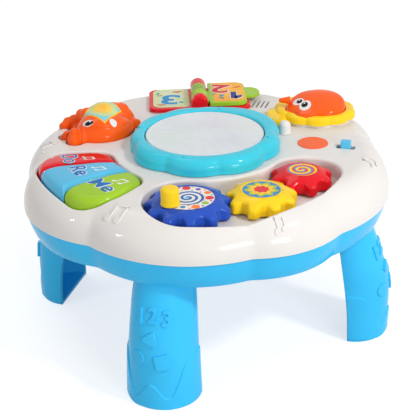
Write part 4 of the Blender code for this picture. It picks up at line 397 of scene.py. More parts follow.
def polar(distance, angle_deg, centre=(0.0, 0.0)):
    """The point at a distance and an angle from a centre."""
    angle = math.radians(angle_deg)
    return (centre[0] + distance * math.cos(angle), centre[1] + distance * math.sin(angle))


# %% Domed lids and finishing
EDGE_STEPS = (0.0, 0.05, 0.14, 0.28, 0.46, 0.70, 1.0, 1.5)
INNER_SHARES = (0.86, 0.72, 0.58, 0.44, 0.30, 0.16, 0.05)


def gap_to(outline, points):
    """Distance of each point to the nearest side of a closed outline."""
    starts = np.array(outline)
    ways = np.roll(starts, -1, axis=0) - starts
    lengths = np.maximum((ways ** 2).sum(1), 1e-16)
    spots = np.array(points)[:, None, :]
    along = np.clip(((spots - starts) * ways).sum(2) / lengths, 0.0, 1.0)
    return np.sqrt((((spots - starts) - along[..., None] * ways) ** 2).sum(2)).min(1)


def lid_bm(outline, bottom, height, rounding, centre=None, edge_steps=EDGE_STEPS):
    """An upright solid over an outline; its top follows height(x, y) and its rim is rounded."""
    middle = np.array(centre if centre is not None else np.mean(outline, axis=0))
    ring = np.array(outline)
    arms = ring - middle
    reach = np.linalg.norm(arms, axis=1)
    rings = [[(x, y, bottom) for x, y in outline]]
    shrinks = [1.0 - step * rounding / reach for step in edge_steps]
    shrinks += [share * shrinks[-1] for share in INNER_SHARES]
    for shrink in shrinks:
        spots = middle + arms * shrink[:, None]
        inside = np.minimum(gap_to(outline, spots), rounding)
        drop = rounding - np.sqrt(np.maximum(rounding ** 2 - (rounding - inside) ** 2, 0.0))
        rings.append([(x, y, height(x, y) - d) for (x, y), d in zip(spots, drop)])
    return loft_bm(rings)


def grown(outline, growth):
    """An outline moved outwards along its normals."""
    points = np.array(outline)
    ways = np.roll(points, -1, axis=0) - np.roll(points, 1, axis=0)
    normals = np.stack((ways[:, 1], -ways[:, 0]), axis=1)
    normals /= np.linalg.norm(normals, axis=1)[:, None]
    return [tuple(p) for p in points + normals * growth]


def smooth(obj, angle_deg=34.0):
    """Smooth shading with sharp edges kept, and flat faces kept flat."""
    obj.data.shade_smooth()
    obj.data.set_sharp_from_angle(angle=math.radians(angle_deg))
    weights = obj.modifiers.new("weighted normals", "WEIGHTED_NORMAL")
    weights.keep_sharp = True
    return obj


def coil_bm(radius, low, high, turns, centre, wire=0.00035):
    """A coil spring's wire, wound upwards."""
    rings = []
    for i in range(turns * 24 + 1):
        turn, height = math.tau * i / 24, low + wire + (high - low - 2 * wire) * i / (turns * 24)
        rings.append([(centre[0] + (radius + wire * math.cos(a)) * math.cos(turn), centre[1] + (radius + wire * math.cos(a)) * math.sin(turn),
                       height + wire * math.sin(a)) for a in [math.tau * k / 8 for k in range(8)]])
    return loft_bm(rings)


def build_spring(name, body, centre, outer, inner):
    """A return spring as two nested coils: one stands in the table, one rides on the button.

    Each is (radius, low, high). Neither is cut when the button goes down."""
    piece(solid(name + "_outer", coil_bm(*outer, 6, centre)), "table", "steel", name)
    piece(solid(name + "_inner", coil_bm(*inner, 3, centre)), body, "steel")


def piece(obj, body, slot, *nodes, finish=None, angle_deg=34.0):
    """Finishes a piece: its shading, its material, the body it rides on and what it stands for."""
    smooth(obj, angle_deg)
    obj.data.materials.clear()
    obj.data.materials.append(finish or FINISHES[slot])
    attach(obj, body)
    if nodes:
        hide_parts(*nodes)
    print("%s: %d faces" % (obj.name, len(obj.data.polygons)))
    return obj

# %% [markdown]
# ## The tray
#
# The white upper casing is one moulding. Seen from above, its outline is a ring of round lobes,
# and a soft shoulder rolls from the flat top down to the joint with the blue casing. The lobes
# meet in creases, and a high power mean of their reaches rounds each crease by a hair, as a mould
# does. The wells for the gears, the keys and the elephant are sunk into it. The gear and key wells
# have a rounded lip that follows the height of the tray, so the lip stays even where a well runs
# into the shoulder; the elephant's well has a plain edge.

# %% Outline and height of the tray
CASING_LOBES = ((-86.0, 0.1465, 0.045), (-45.0, 0.1455, 0.070), (0.0, 0.1482, 0.040), (45.0, 0.1520, 0.070),
                (90.0, 0.1480, 0.045), (137.0, 0.1500, 0.064), (180.0, 0.1480, 0.055), (223.0, 0.1502, 0.062))
TOP_Z, SPLIT_Z, SKIRT_Z, SHOULDER_Z = 0.149, 0.1188, 0.0975, 0.1215
WALL, GAP = 0.0025, 0.0003
CASING_POINTS, CASING_BLEND = 288, 320.0


def lobe_reach(angle, direction_deg, reach, centre):
    """How far one round lobe reaches from the axis in a direction."""
    swing = angle - math.radians(direction_deg)
    under = (reach - centre) ** 2 - (centre * math.sin(swing)) ** 2
    return max(0.0, centre * math.cos(swing) + math.sqrt(under)) if under > 0.0 else 0.0


def lobed_reach(angle, lobes, blend):
    """The reach of a ring of lobes, with its creases rounded by a power mean."""
    reaches = [lobe_reach(angle, *lobe) for lobe in lobes]
    top = max(reaches)
    return top * sum((reach / top) ** blend for reach in reaches) ** (1.0 / blend)


def casing_outline(inset, count=CASING_POINTS):
    """The casing's outline, drawn in by an inset."""
    angles = [math.tau * i / count for i in range(count)]
    return [polar(lobed_reach(a, CASING_LOBES, CASING_BLEND) - inset, math.degrees(a)) for a in angles]


def shoulder_width(angle):
    """The rounded shoulder is broad in front and narrower behind."""
    return 0.0270 - 0.0090 * (1.0 + math.sin(angle)) / 2


def shoulder_ring(share, wall=0.0, count=CASING_POINTS):
    """One ring of the shoulder; its share runs from the joint (0) to the flat top (1)."""
    rise, spread = math.sin(math.pi / 2 * share), math.cos(math.pi / 2 * share)
    ring = []
    for i in range(count):
        angle = math.tau * i / count
        reach = lobed_reach(angle, CASING_LOBES, CASING_BLEND) - wall - (shoulder_width(angle) - wall) * (1.0 - spread)
        ring.append((*polar(reach, math.degrees(angle)), SHOULDER_Z + (TOP_Z - wall - SHOULDER_Z) * rise))
    return ring


def tray_height(x, y):
    """The height of the tray's surface."""
    angle = math.atan2(y, x)
    inset = lobed_reach(angle, CASING_LOBES, CASING_BLEND) - math.hypot(x, y)
    spread = min(1.0, max(0.0, 1.0 - inset / shoulder_width(angle)))
    return SHOULDER_Z + (TOP_Z - SHOULDER_Z) * math.sqrt(1.0 - spread ** 2)


def tray_body():
    """The tray's shell before anything is sunk into it."""
    rings = [at_height(casing_outline(0.0006), SPLIT_Z + GAP), at_height(casing_outline(0.0), SPLIT_Z + 2 * GAP)]
    rings += [shoulder_ring(i / 18) for i in range(19)]
    return solid("tray", loft_bm(rings))


tray = tray_body()
print("tray outline:", [round(v / MM, 1) for v in tray.dimensions])

# %% [markdown]
# ## Outlines of what sits in the tray
#
# The three gears mesh at rest, so their centres come from their tooth counts. The recess around
# them has a round end about each outer gear and two long arcs between. The keyboard is a fan about
# the tray's middle. The elephant's outline is a circle with round lobes for its feet, trunk and
# tail, and the lion's is an oval with ten scallops.

# %% Outlines
TOOTH_MODULE, TOOTH_TIP, TOOTH_ROOT = 0.0055, 0.0020, 0.0032
GEARS = {"blue": ((0.0145, -0.0985), 27.9, 11), "yellow": ((0.063107, -0.072764), 227.9, 9),
         "red": ((0.084983, -0.031448), 258.08, 8)}
ELEPHANT_CENTRE, ELEPHANT_RADIUS = (-0.0950, 0.0150), 0.0280
ELEPHANT_LOBES = ((0.0220, 0.0175, 0.0075), (0.0120, 0.0270, 0.0085), (-0.0115, 0.0270, 0.0085),
                  (-0.0260, 0.0165, 0.0075), (-0.0330, 0.0020, 0.0055), (-0.0215, -0.0195, 0.0078),
                  (-0.0110, -0.0285, 0.0080))
LION_CENTRE, LION_HALF = (0.0740, 0.0855), (0.0335, 0.0290)
LION_HEAD_CENTRE = (LION_CENTRE[0] + 0.0020, LION_CENTRE[1] + 0.0010)
KEYS_INNER, KEYS_OUTER, KEYS_MIDDLE_DEG, KEYS_HALF_DEG = 0.0750, 0.1350, -135.0, 25.5


def arc(centre, radius, start_deg, end_deg, step_deg=3.0):
    """Points along an arc, both ends included."""
    steps = max(2, math.ceil(abs(end_deg - start_deg) / step_deg))
    return [polar(radius, start_deg + (end_deg - start_deg) * i / steps, centre) for i in range(steps + 1)]


def tip_radius(teeth):
    """Radius over a gear's teeth."""
    return TOOTH_MODULE * teeth / 2 + TOOTH_TIP


def direction_of(point, centre=(0.0, 0.0)):
    """The direction of a point seen from a centre, in degrees."""
    return math.degrees(math.atan2(point[1] - centre[1], point[0] - centre[0]))


def circles_crossing(first, first_radius, second, second_radius):
    """The crossing of two circles that lies nearer the table's middle."""
    a, b = Vector(first), Vector(second)
    between = (b - a).length
    along = (first_radius ** 2 - second_radius ** 2 + between ** 2) / (2 * between)
    across = math.sqrt(max(0.0, first_radius ** 2 - along ** 2))
    way = (b - a) / between
    side = Vector((-way.y, way.x))
    return min((a + way * along + side * across, a + way * along - side * across), key=lambda p: p.length)


def pocket_outline(growth=0.0):
    """The gears' recess."""
    blue, red = GEARS["blue"][0], (GEARS["red"][0][0] + 0.0030, GEARS["red"][0][1] + 0.0015)
    blue_end, red_end, near = tip_radius(11) + 0.0013, tip_radius(8) + 0.0028, 0.1158
    centre = circles_crossing(blue, near - blue_end, red, near - red_end)
    inner_blue, inner_red = Vector(blue).length - blue_end, Vector(red).length - red_end
    blue_way, red_way = direction_of(blue), direction_of(red)
    blue_near, red_near = direction_of(blue, centre), direction_of(red, centre)
    outline = arc(centre, near + growth, blue_near, red_near, 1.5)
    outline += arc(red, red_end + growth, red_near, red_way + 180.0)[1:]
    steps = math.ceil((red_way - blue_way) / 2.0)
    for i in range(1, steps):
        share = i / steps
        outline.append(polar(inner_red + (inner_blue - inner_red) * share - growth,
                             red_way + (blue_way - red_way) * share))
    return outline + arc(blue, blue_end + growth, blue_way - 180.0, blue_near)[:-1]


def keys_outline(growth=0.0):
    """The keyboard: a fan with round corners."""
    half = KEYS_HALF_DEG + math.degrees(growth / KEYS_INNER)
    start, end = KEYS_MIDDLE_DEG - half, KEYS_MIDDLE_DEG + half
    inner, outer, near_size, far_size = KEYS_INNER - growth, KEYS_OUTER + growth, 0.0150 + growth, 0.0240 + growth
    near_turn = math.degrees(math.asin(near_size / (inner + near_size)))
    far_turn = math.degrees(math.asin(far_size / (outer - far_size)))
    outline = arc(polar(inner + near_size, start + near_turn), near_size, start + near_turn - 180.0, start - 90.0)
    outline += arc(polar(outer - far_size, start + far_turn), far_size, start - 90.0, start + far_turn)
    outline += arc((0.0, 0.0), outer, start + far_turn, end - far_turn)[1:-1]
    outline += arc(polar(outer - far_size, end - far_turn), far_size, end - far_turn, end + 90.0)
    outline += arc(polar(inner + near_size, end - near_turn), near_size, end + 90.0, end - near_turn + 180.0)
    return outline + arc((0.0, 0.0), inner, end - near_turn, start + near_turn)[1:-1]


def elephant_outline(growth=0.0, count=144):
    """The elephant's foot print."""
    outline = []
    for i in range(count):
        angle = math.tau * i / count
        reaches = [ELEPHANT_RADIUS + growth]
        reaches += [lobe_reach(angle, direction_of((x, y)), math.hypot(x, y) + size + growth, math.hypot(x, y))
                    for x, y, size in ELEPHANT_LOBES]
        outline.append(polar(max(reaches), math.degrees(angle), ELEPHANT_CENTRE))
    return outline


def lion_outline(growth=0.0, count=160):
    """The scalloped oval under the lion's head."""
    outline = []
    for i in range(count):
        angle = math.tau * i / count
        wave = growth + 0.0012 * abs(math.cos(5 * angle))
        outline.append((LION_CENTRE[0] + (LION_HALF[0] + wave) * math.cos(angle),
                        LION_CENTRE[1] + (LION_HALF[1] + wave) * math.sin(angle)))
    return outline


print("recess:", len(pocket_outline()), "points; keyboard:", len(keys_outline()), "points")

# %% [markdown]
# ## Sinking the wells
#
# A well's cutter is a loft. It starts on the floor with a small fillet, goes up the wall, and
# swings outwards in a quarter circle just under the tray's surface, which leaves the rounded lip.
# Around each well, a tub holds its wall below the tray.

# %% Wells
LIP, FILLET = 0.0024, 0.0012


def well_cutter(name, outline, floor, fillet=FILLET):
    """What a well takes out of the tray, lip and all."""
    rings = [at_height(grown(outline, -fillet), floor)]
    rings += [at_height(grown(outline, fillet * (math.sin(t) - 1.0)), floor + fillet * (1.0 - math.cos(t)))
              for t in (math.pi / 6, math.pi / 3, math.pi / 2)]
    for step in range(7):
        turn = math.pi / 2 * step / 6
        ring = grown(outline, LIP * (1.0 - math.cos(turn)))
        rings.append([(x, y, tray_height(x, y) - LIP * (1.0 - math.sin(turn))) for x, y in ring])
    outer = grown(outline, LIP + 0.0008)
    rings.append([(x, y, tray_height(x, y) + 0.0002) for x, y in outer])
    rings.append(at_height(outer, TOP_Z + 0.008))
    return solid(name, loft_bm(rings))


def tub(name, outline, bottom):
    """The wall round a well, up to the middle of the tray's own wall."""
    return solid(name, loft_bm([at_height(outline, bottom), [(x, y, tray_height(x, y) - WALL / 2) for x, y in outline]]))


def slot(name, centre, length, width, turn_deg=0.0, bottom=TOP_Z - 0.006, top=TOP_Z + 0.006):
    """A slot with round ends, its length along Y before it is turned."""
    ends = [polar(width / 2, a, (0.0, (length - width) / 2)) for a in range(0, 181, 15)]
    ends += [polar(width / 2, a, (0.0, (width - length) / 2)) for a in range(180, 361, 15)]
    turn = math.radians(turn_deg)
    outline = [(centre[0] + x * math.cos(turn) - y * math.sin(turn),
                centre[1] + x * math.sin(turn) + y * math.cos(turn)) for x, y in ends]
    return column(name, outline, bottom, top)


SHELL_SCREWS = {"back_left": (-0.064, 0.103), "left": (-0.123, -0.034), "under_gears": (0.042, -0.106),
                "right": (0.116, 0.047), "back_right": (0.050, 0.114)}
BOOK_TURN = math.radians(18.4)
POCKET_FLOOR, ELEPHANT_FLOOR, KEY_WELL_BOTTOM = 0.1365, 0.1435, 0.1330
SWITCH_PLACE, POST_PLACE, BADGE_PLACE = (0.1105, 0.0225), (0.0570, 0.0420), (0.0834, 0.0251)


def book_point(across, along, height=0.0):
    """A point given across and along the book's spine."""
    return Matrix.Rotation(BOOK_TURN, 3, "Z") @ Vector((across, along, height))


def rounded_box(low, high, radius, turn=BOOK_TURN, step_deg=7.5):
    """A rectangle with round corners, turned about the table's axis."""
    radii = radius if isinstance(radius, tuple) else (radius,) * 4
    corners = ((high[0], high[1], 0, radii[0]), (low[0], high[1], 90, radii[1]),
               (low[0], low[1], 180, radii[2]), (high[0], low[1], 270, radii[3]))
    points = []
    for x, y, start, size in corners:
        side_x, side_y = (-1 if x == high[0] else 1), (-1 if y == high[1] else 1)
        points += arc((x + side_x * size, y + side_y * size), size, start, start + 90.0, step_deg)
    c, s = math.cos(turn), math.sin(turn)
    return [(x * c - y * s, x * s + y * c) for x, y in points]


def finish_tray():
    """Stands, hollow, tubs, wells, holes and slots."""
    lion_stand = solid("lion_stand", lid_bm(lion_outline(-0.0020), SHOULDER_Z, lambda x, y: TOP_Z + 0.0022, 0.0012))
    book_stand = column("book_stand", rounded_box((-0.0437, 0.0795), (0.0437, 0.1300), 0.006), SHOULDER_Z, TOP_Z + 0.0004)
    carve(tray, "UNION", lion_stand, book_stand)
    hollow = [at_height([p[:2] for p in shoulder_ring(0.0, WALL, 96)], SPLIT_Z - 0.004)]
    hollow += [shoulder_ring(i / 6, WALL, 96) for i in range(7)]
    stand_hollow = column("stand_hollow", lion_outline(-0.0055, 60), SPLIT_Z - 0.004, TOP_Z - WALL)
    carve(tray, "DIFFERENCE", solid("tray_hollow", loft_bm(hollow)), stand_hollow)
    bosses = [column("boss", circle(0.0038, place, 24), SPLIT_Z + GAP, TOP_Z - WALL + 0.0006)
              for name, place in SHELL_SCREWS.items() if name != "under_gears"]
    tubs = merged("tubs", tub("gear_tub", pocket_outline(0.0020), POCKET_FLOOR - 0.0022),
                  tub("key_tub", grown(keys_outline(), 0.0027), KEY_WELL_BOTTOM),
                  tub("elephant_tub", elephant_outline(0.0024), ELEPHANT_FLOOR - WALL), *bosses)
    carve(tray, "UNION", tubs)
    carve(tray, "UNION", column("boss", circle(0.0038, SHELL_SCREWS["under_gears"], 24), SPLIT_Z + GAP, POCKET_FLOOR - 0.0016))
    x, y = SWITCH_PLACE
    carve(tray, "DIFFERENCE", well_cutter("key_well", grown(keys_outline(), 0.0009), KEY_WELL_BOTTOM - 0.004, 0.0003))
    print("tray with the key well:", len(tray.data.polygons), "faces")
    carve(tray, "DIFFERENCE", well_cutter("gear_well", pocket_outline(), POCKET_FLOOR))
    carve(tray, "DIFFERENCE", column("elephant_well", elephant_outline(0.0006), ELEPHANT_FLOOR, TOP_Z + 0.008))
    openings = [column("drum_opening", circle(0.0436, count=96), TOP_Z - 0.006, TOP_Z + 0.004),
                column("switch_slot", rounded_box((x - 0.0075, y - 0.0034), (x + 0.0075, y + 0.0034), 0.0012, 0.0, 15.0),
                       TOP_Z - 0.006, TOP_Z + 0.006),
                column("post_seat", circle(0.0029, POST_PLACE, 24), TOP_Z - 0.006, TOP_Z + 0.004)]
    openings += [slot("grille", (0.0160 + 0.0040 * i, 0.1045), 0.0180, 0.0016) for i in range(4)]
    openings += [column("bezel_bore", circle(0.0016, polar(0.0545, a), 16), TOP_Z - 0.006, TOP_Z + 0.004) for a in (0, 120, 240)]
    openings += [column("book_bore", circle(0.0016, book_point(side, 0.10475)[:2], 16), TOP_Z - 0.006, TOP_Z + 0.004)
                 for side in (-0.0260, 0.0260)]
    carve(tray, "DIFFERENCE", merged("openings", *openings))
    holes = [column("shaft_hole", circle(0.0036, place, 32), POCKET_FLOOR - 0.006, POCKET_FLOOR + 0.002) for place, _, _ in GEARS.values()]
    holes += [column("stem_hole", circle(0.0061, ELEPHANT_CENTRE, 32), ELEPHANT_FLOOR - 0.006, ELEPHANT_FLOOR + 0.002),
              column("stem_hole", circle(0.0061, LION_HEAD_CENTRE, 32), TOP_Z - 0.006, TOP_Z + 0.008)]
    holes += [column("pilot", circle(0.0016, place, 16), SPLIT_Z - 0.004, 0.1288) for place in SHELL_SCREWS.values()]
    carve(tray, "DIFFERENCE", merged("holes", *holes))
    return piece(tray, "table", "white_plastic", "top_shell")


finish_tray()

# %% [markdown]
# ## The blue casing
#
# Under the tray, the blue casing carries everything: a skirt that leans inwards to a rounded lower
# edge, a floor with a seat for the battery door, a box for the cells and a socket over each leg.
# It takes the tray's outline, a hair inside it, so the joint shows as a fine shadow line.

# %% Casing
SKIRT_STEP, SKIRT_LEAN, LEG_DIRECTIONS = 0.0008, 0.0068, {"front": -90.0, "right": 0.0, "back": 90.0, "left": 180.0}


def skirt_inset(share):
    """How far the skirt stands inside the tray's outline, from its foot (0) to the joint (1)."""
    return SKIRT_STEP + SKIRT_LEAN * (1.0 - share) - 0.0006 * math.sin(math.pi * share)


def leg_plug(name, inset, bottom, top, direction_deg):
    """The block that plugs a leg into the casing, or the socket round it."""
    chord, half, tip = 0.111, 0.023, 0.1365
    ring = [(max(chord + inset, chord + (tip - chord - inset) * math.cos(math.radians(s))),
             (half - inset) * math.sin(math.radians(s))) for s in range(-90, 91, 6)]
    turn = math.radians(direction_deg)
    outline = [(x * math.cos(turn) - y * math.sin(turn), x * math.sin(turn) + y * math.cos(turn)) for x, y in ring]
    return column(name, outline, bottom, top)


def build_casing():
    """Skirt, floor, leg sockets, battery box and screw bosses."""
    height = SPLIT_Z - SKIRT_Z
    rings = [at_height(casing_outline(skirt_inset(0.0) + 0.0016), SKIRT_Z)]
    rings += [at_height(casing_outline(skirt_inset(0.0) + 0.0016 * (1.0 - math.sin(t)) - 0.0001),
                        SKIRT_Z + 0.0016 * (1.0 - math.cos(t))) for t in (0.4, 0.8, 1.2, 1.57)]
    rings += [at_height(casing_outline(skirt_inset(s)), SKIRT_Z + height * s) for s in (0.2, 0.35, 0.5, 0.65, 0.8, 0.92)]
    rings += [at_height(casing_outline(SKIRT_STEP), SPLIT_Z)]
    casing = solid("casing", loft_bm(rings))
    foot = SKIRT_STEP + SKIRT_LEAN + WALL
    carve(casing, "DIFFERENCE", solid("casing_hollow", loft_bm([
        at_height(casing_outline(foot, 96), SKIRT_Z + WALL), at_height(casing_outline(SKIRT_STEP + WALL, 96), SPLIT_Z + 0.004)])))
    inside = [leg_plug("socket", 0.0019, SKIRT_Z + WALL - 0.0006, SKIRT_Z + 0.010, a) for a in LEG_DIRECTIONS.values()]
    inside += [column("boss", circle(0.0038, place, 24), SKIRT_Z + WALL - 0.0006, SPLIT_Z - GAP) for place in SHELL_SCREWS.values()]
    inside.append(column("battery_box", box_outline((-0.03045, -0.02505), (0.03685, 0.02505)), SKIRT_Z + 0.0006, 0.1178))
    carve(casing, "UNION", merged("inside", *inside))
    holes = [leg_plug("hole", 0.0037, SKIRT_Z - 0.004, SKIRT_Z + 0.014, a) for a in LEG_DIRECTIONS.values()]
    holes += [column("counterbore", circle(0.0031, place, 24), SKIRT_Z - 0.004, 0.1088) for place in SHELL_SCREWS.values()]
    holes.append(column("door_seat", box_outline((-0.03145, -0.02605), (0.03745, 0.02605)), SKIRT_Z - 0.004, SKIRT_Z + 0.002))
    carve(casing, "DIFFERENCE", merged("holes", *holes))
    holes = [column("bore", circle(0.0016, place, 16), 0.108, SPLIT_Z + 0.004) for place in SHELL_SCREWS.values()]
    holes.append(column("battery_space", box_outline((-0.02845, -0.02305), (0.02845, 0.02305)), SKIRT_Z + 0.001, 0.1158))
    holes.append(column("door_bore", circle(0.0016, (0.03295, 0.0), 16), SKIRT_Z + 0.001, SKIRT_Z + 0.0145))
    carve(casing, "DIFFERENCE", merged("holes", *holes))
    return piece(casing, "table", "sky_plastic", "base_shell")


build_casing()

# %% [markdown]
# ## Legs
#
# Each leg is a half-round channel, open towards the middle of the table, with a sole below and a
# plate above. It widens towards the foot. A raised band wraps the foot, and its upper edge runs in
# a wave. Lofted rings make it in one go: the outer arc, a rounded end, the inner arc, and the
# other end. Rings near the wave follow the wave, so its step stays crisp, and in the sole and
# the top plate the inner arc lies flat along the chord, which closes the channel.

# %% Leg shape
LEG_SHAPE = ((0.0, 1.0, 1.0, 0.97), (0.24, 0.92, 0.84, 1.0), (0.41, 0.79, 0.71, 0.98), (0.51, 0.69, 0.62, 0.91),
             (0.61, 0.58, 0.53, 0.77), (0.70, 0.48, 0.45, 0.585), (0.82, 0.34, 0.32, 0.355),
             (0.90, 0.21, 0.18, 0.185), (1.0, 0.0, 0.0, 0.0))
WAVE = ((-90.0, 0.041), (-68.0, 0.040), (-33.0, 0.008), (-3.0, 0.022), (22.0, 0.010), (60.0, 0.0385), (90.0, 0.041))
LEG_WALL, BAND_RELIEF = 0.0028, 0.0010


def flow(table, share, column_index):
    """A smooth curve through a table's rows (a Catmull-Rom spline)."""
    rows = [(row[0], row[column_index]) for row in table]
    k = max(0, min(len(rows) - 2, next((i for i in range(len(rows) - 1) if share <= rows[i + 1][0]), len(rows) - 2)))
    (x0, y0), (x1, y1) = rows[k], rows[k + 1]
    span = x1 - x0
    t = (share - x0) / span

    def slope(i):
        if i <= 0 or i >= len(rows) - 1:
            j = min(max(i, 0), len(rows) - 2)
            return (rows[j + 1][1] - rows[j][1]) / (rows[j + 1][0] - rows[j][0])
        return (rows[i + 1][1] - rows[i - 1][1]) / (rows[i + 1][0] - rows[i - 1][0])
    m0, m1 = slope(k) * span, slope(k + 1) * span
    return ((2 * t ** 3 - 3 * t ** 2 + 1) * y0 + (t ** 3 - 2 * t ** 2 + t) * m0
            + (3 * t ** 2 - 2 * t ** 3) * y1 + (t ** 3 - t ** 2) * m1)


def leg_shape(z):
    """Chord place, half width and tip of a leg at a height."""
    share = min(1.0, max(0.0, z / SKIRT_Z))
    chord, width, tip = (flow(LEG_SHAPE, share, i) for i in (1, 2, 3))
    return 0.111 + 0.0145 * chord, 0.023 + 0.006 * width, 0.1365 + 0.0173 * tip


def wave_height(swing_deg):
    """The upper edge of the raised band, easing from one turn of the wave to the next."""
    for (a, low), (b, high) in zip(WAVE, WAVE[1:]):
        if swing_deg <= b:
            share = (swing_deg - a) / (b - a)
            return low + (high - low) * (1.0 - math.cos(math.pi * share)) / 2
    return WAVE[-1][1]


def leg_point(swing_deg, z, out=0.0):
    """A point on a leg's outer face; the leg points along +X."""
    chord, half, tip = leg_shape(z)
    s = math.radians(swing_deg)
    return (chord + (tip - chord + out) * math.cos(s), (half + out) * math.sin(s), z)


def leg_ring(share, hollow, toe=0.0):
    """One ring of a leg. Its share runs from the sole (0) over the wave (0.4 to 0.46) to the top (1)."""
    ring = []
    top, low = SKIRT_Z - GAP, 0.0
    for swing in range(-90, 91, 2):
        edge = wave_height(swing)
        if share < 0.4:
            z, relief = low + (edge - 0.0006 - low) * share / 0.4, BAND_RELIEF / 2
        elif share <= 0.46:
            step = (share - 0.4) / 0.06
            z = edge - 0.0006 + 0.0012 * step
            relief = BAND_RELIEF * (0.5 + 0.5 * math.cos(math.pi * step)) - BAND_RELIEF / 2
        else:
            z, relief = edge + 0.0006 + (top - edge - 0.0006) * (share - 0.46) / 0.54, -BAND_RELIEF / 2
        if toe:
            relief, z = -toe, (0.0025 - math.sqrt(max(0.0, 0.0025 ** 2 - toe ** 2)) if toe < 0.0025 else 0.0)
        ring.append(leg_point(swing, z, relief))
    z = 0.0 if toe else share * top
    plain = sum(p[2] for p in ring) / len(ring) if toe else z
    chord, half, tip = leg_shape(plain)
    ring += [(chord - 0.0008, half - 0.0006, plain), (chord - 0.0011, half - LEG_WALL / 2, plain),
             (chord - 0.0008, half - LEG_WALL + 0.0006, plain)]
    for swing in range(90, -91, -6):
        s = math.radians(swing)
        depth = (tip - chord - LEG_WALL) * math.cos(s) if hollow else -0.0008
        ring.append((chord + depth, (half - LEG_WALL) * math.sin(s), plain))
    ring += [(chord - 0.0008, LEG_WALL - 0.0006 - half, plain), (chord - 0.0011, LEG_WALL / 2 - half, plain),
             (chord - 0.0008, 0.0006 - half, plain)]
    return ring


def leg_rings():
    """Toe, sole, foot with the band, shank and top plate."""
    rings = [leg_ring(0.0, False, toe) for toe in (0.0025, 0.0018, 0.0010, 0.0004)]
    sole, plate = 0.003 / SKIRT_Z, 1.0 - 0.003 / SKIRT_Z
    rings += [leg_ring(sole * 0.9, False), leg_ring(sole, True)]
    rings += [leg_ring(share, True) for share in (0.06, 0.1, 0.15, 0.2, 0.25, 0.3, 0.34, 0.37, 0.39)]
    rings += [leg_ring(0.40 + 0.01 * i, True) for i in range(7)]
    rings += [leg_ring(0.47 + (plate - 0.47) * i / 24, True) for i in range(25)]
    return rings + [leg_ring(plate + 0.002, False), leg_ring(1.0, False)]


# %% [markdown]
# ## Figures on the legs
#
# Counting figures and shapes stand half a millimetre proud of each leg: 1, 2, 3, a triangle, a
# disc and a square. Each is made flat, sliced into narrow strips so that it can bend, and then
# laid on the leg: its flat x becomes the place across the leg, and its y becomes the height.

# %% Lettering and figures


def sliced(bm, step, low, high, axis=0):
    """Cuts a flat shape into strips, so that it can bend."""
    normal = (1.0, 0.0, 0.0) if axis == 0 else (0.0, 1.0, 0.0)
    place = low + step
    while place < high:
        point = (place, 0.0, 0.0) if axis == 0 else (0.0, place, 0.0)
        bmesh.ops.bisect_plane(bm, geom=bm.verts[:] + bm.edges[:] + bm.faces[:], dist=1e-7, plane_co=point, plane_no=normal)
        place += step
    return bm


def letter_bm(text, size, depth, weight=0.0, round_edge=0.0, step=0.0015):
    """Letters as a flat solid about the origin, cut into strips; weight thickens the strokes."""
    curve = bpy.data.curves.new("letters", "FONT")
    curve.body, curve.size, curve.offset = text, size, weight
    curve.extrude, curve.bevel_depth, curve.bevel_resolution = depth / 2, round_edge, 1 if round_edge else 0
    curve.align_x, curve.align_y, curve.resolution_u = "CENTER", "CENTER", 6
    guide = bpy.data.objects.new("letters", curve)
    bpy.context.scene.collection.objects.link(guide)
    bpy.context.view_layer.update()
    evaluated = guide.evaluated_get(bpy.context.evaluated_depsgraph_get())
    bm = bmesh.new()
    bm.from_mesh(evaluated.to_mesh())
    evaluated.to_mesh_clear()
    bpy.data.objects.remove(guide, do_unlink=True)
    bmesh.ops.remove_doubles(bm, verts=bm.verts, dist=1e-7)
    xs = [v.co.x for v in bm.verts]
    return sliced(bm, step, min(xs), max(xs))


def figure_bm(outline, depth, step=0.0015):
    """A flat figure with softened upper edges, cut into strips."""
    rings = [at_height(outline, -depth), at_height(outline, depth - 0.0003), at_height(grown(outline, -0.0003), depth)]
    bm = loft_bm(rings)
    xs = [v.co.x for v in bm.verts]
    return sliced(bm, step, min(xs), max(xs))


def laid(bm, place):
    """Moves every vertex by a rule that takes and gives (x, y, z)."""
    for vert in bm.verts:
        vert.co = place(*vert.co)
    bmesh.ops.recalc_face_normals(bm, faces=bm.faces)
    return bm


def on_leg(at_y, at_z):
    """The rule that lays a flat figure on a leg, with its middle at a place across and a height."""
    def place(x, y, z):
        height = at_z + y
        _, half, _ = leg_shape(height)
        swing = math.degrees(math.asin(max(-0.99, min(0.99, (at_y + x) / half))))
        return leg_point(swing, height, z - 0.0004)
    return place


def rounded_polygon(corners, radius, step_deg=15.0):
    """A convex polygon, counter-clockwise, with round corners."""
    outline, count = [], len(corners)
    for i in range(count):
        before, here, after = (Vector(corners[(i + k) % count]) for k in (-1, 0, 1))
        a, b = (before - here).normalized(), (after - here).normalized()
        half = a.angle(b) / 2
        centre = here + (a + b).normalized() * radius / math.sin(half)
        sweep = 180.0 - math.degrees(2 * half)
        start = direction_of(tuple((here + a * radius / math.tan(half)) - centre))
        outline += arc(tuple(centre), radius, start, start + sweep, step_deg)
    return outline


def joined_bm(*parts):
    """Several bmeshes as one."""
    out = bmesh.new()
    for part in parts:
        mesh = bpy.data.meshes.new("part")
        part.to_mesh(mesh)
        part.free()
        out.from_mesh(mesh)
        bpy.data.meshes.remove(mesh)
    return out


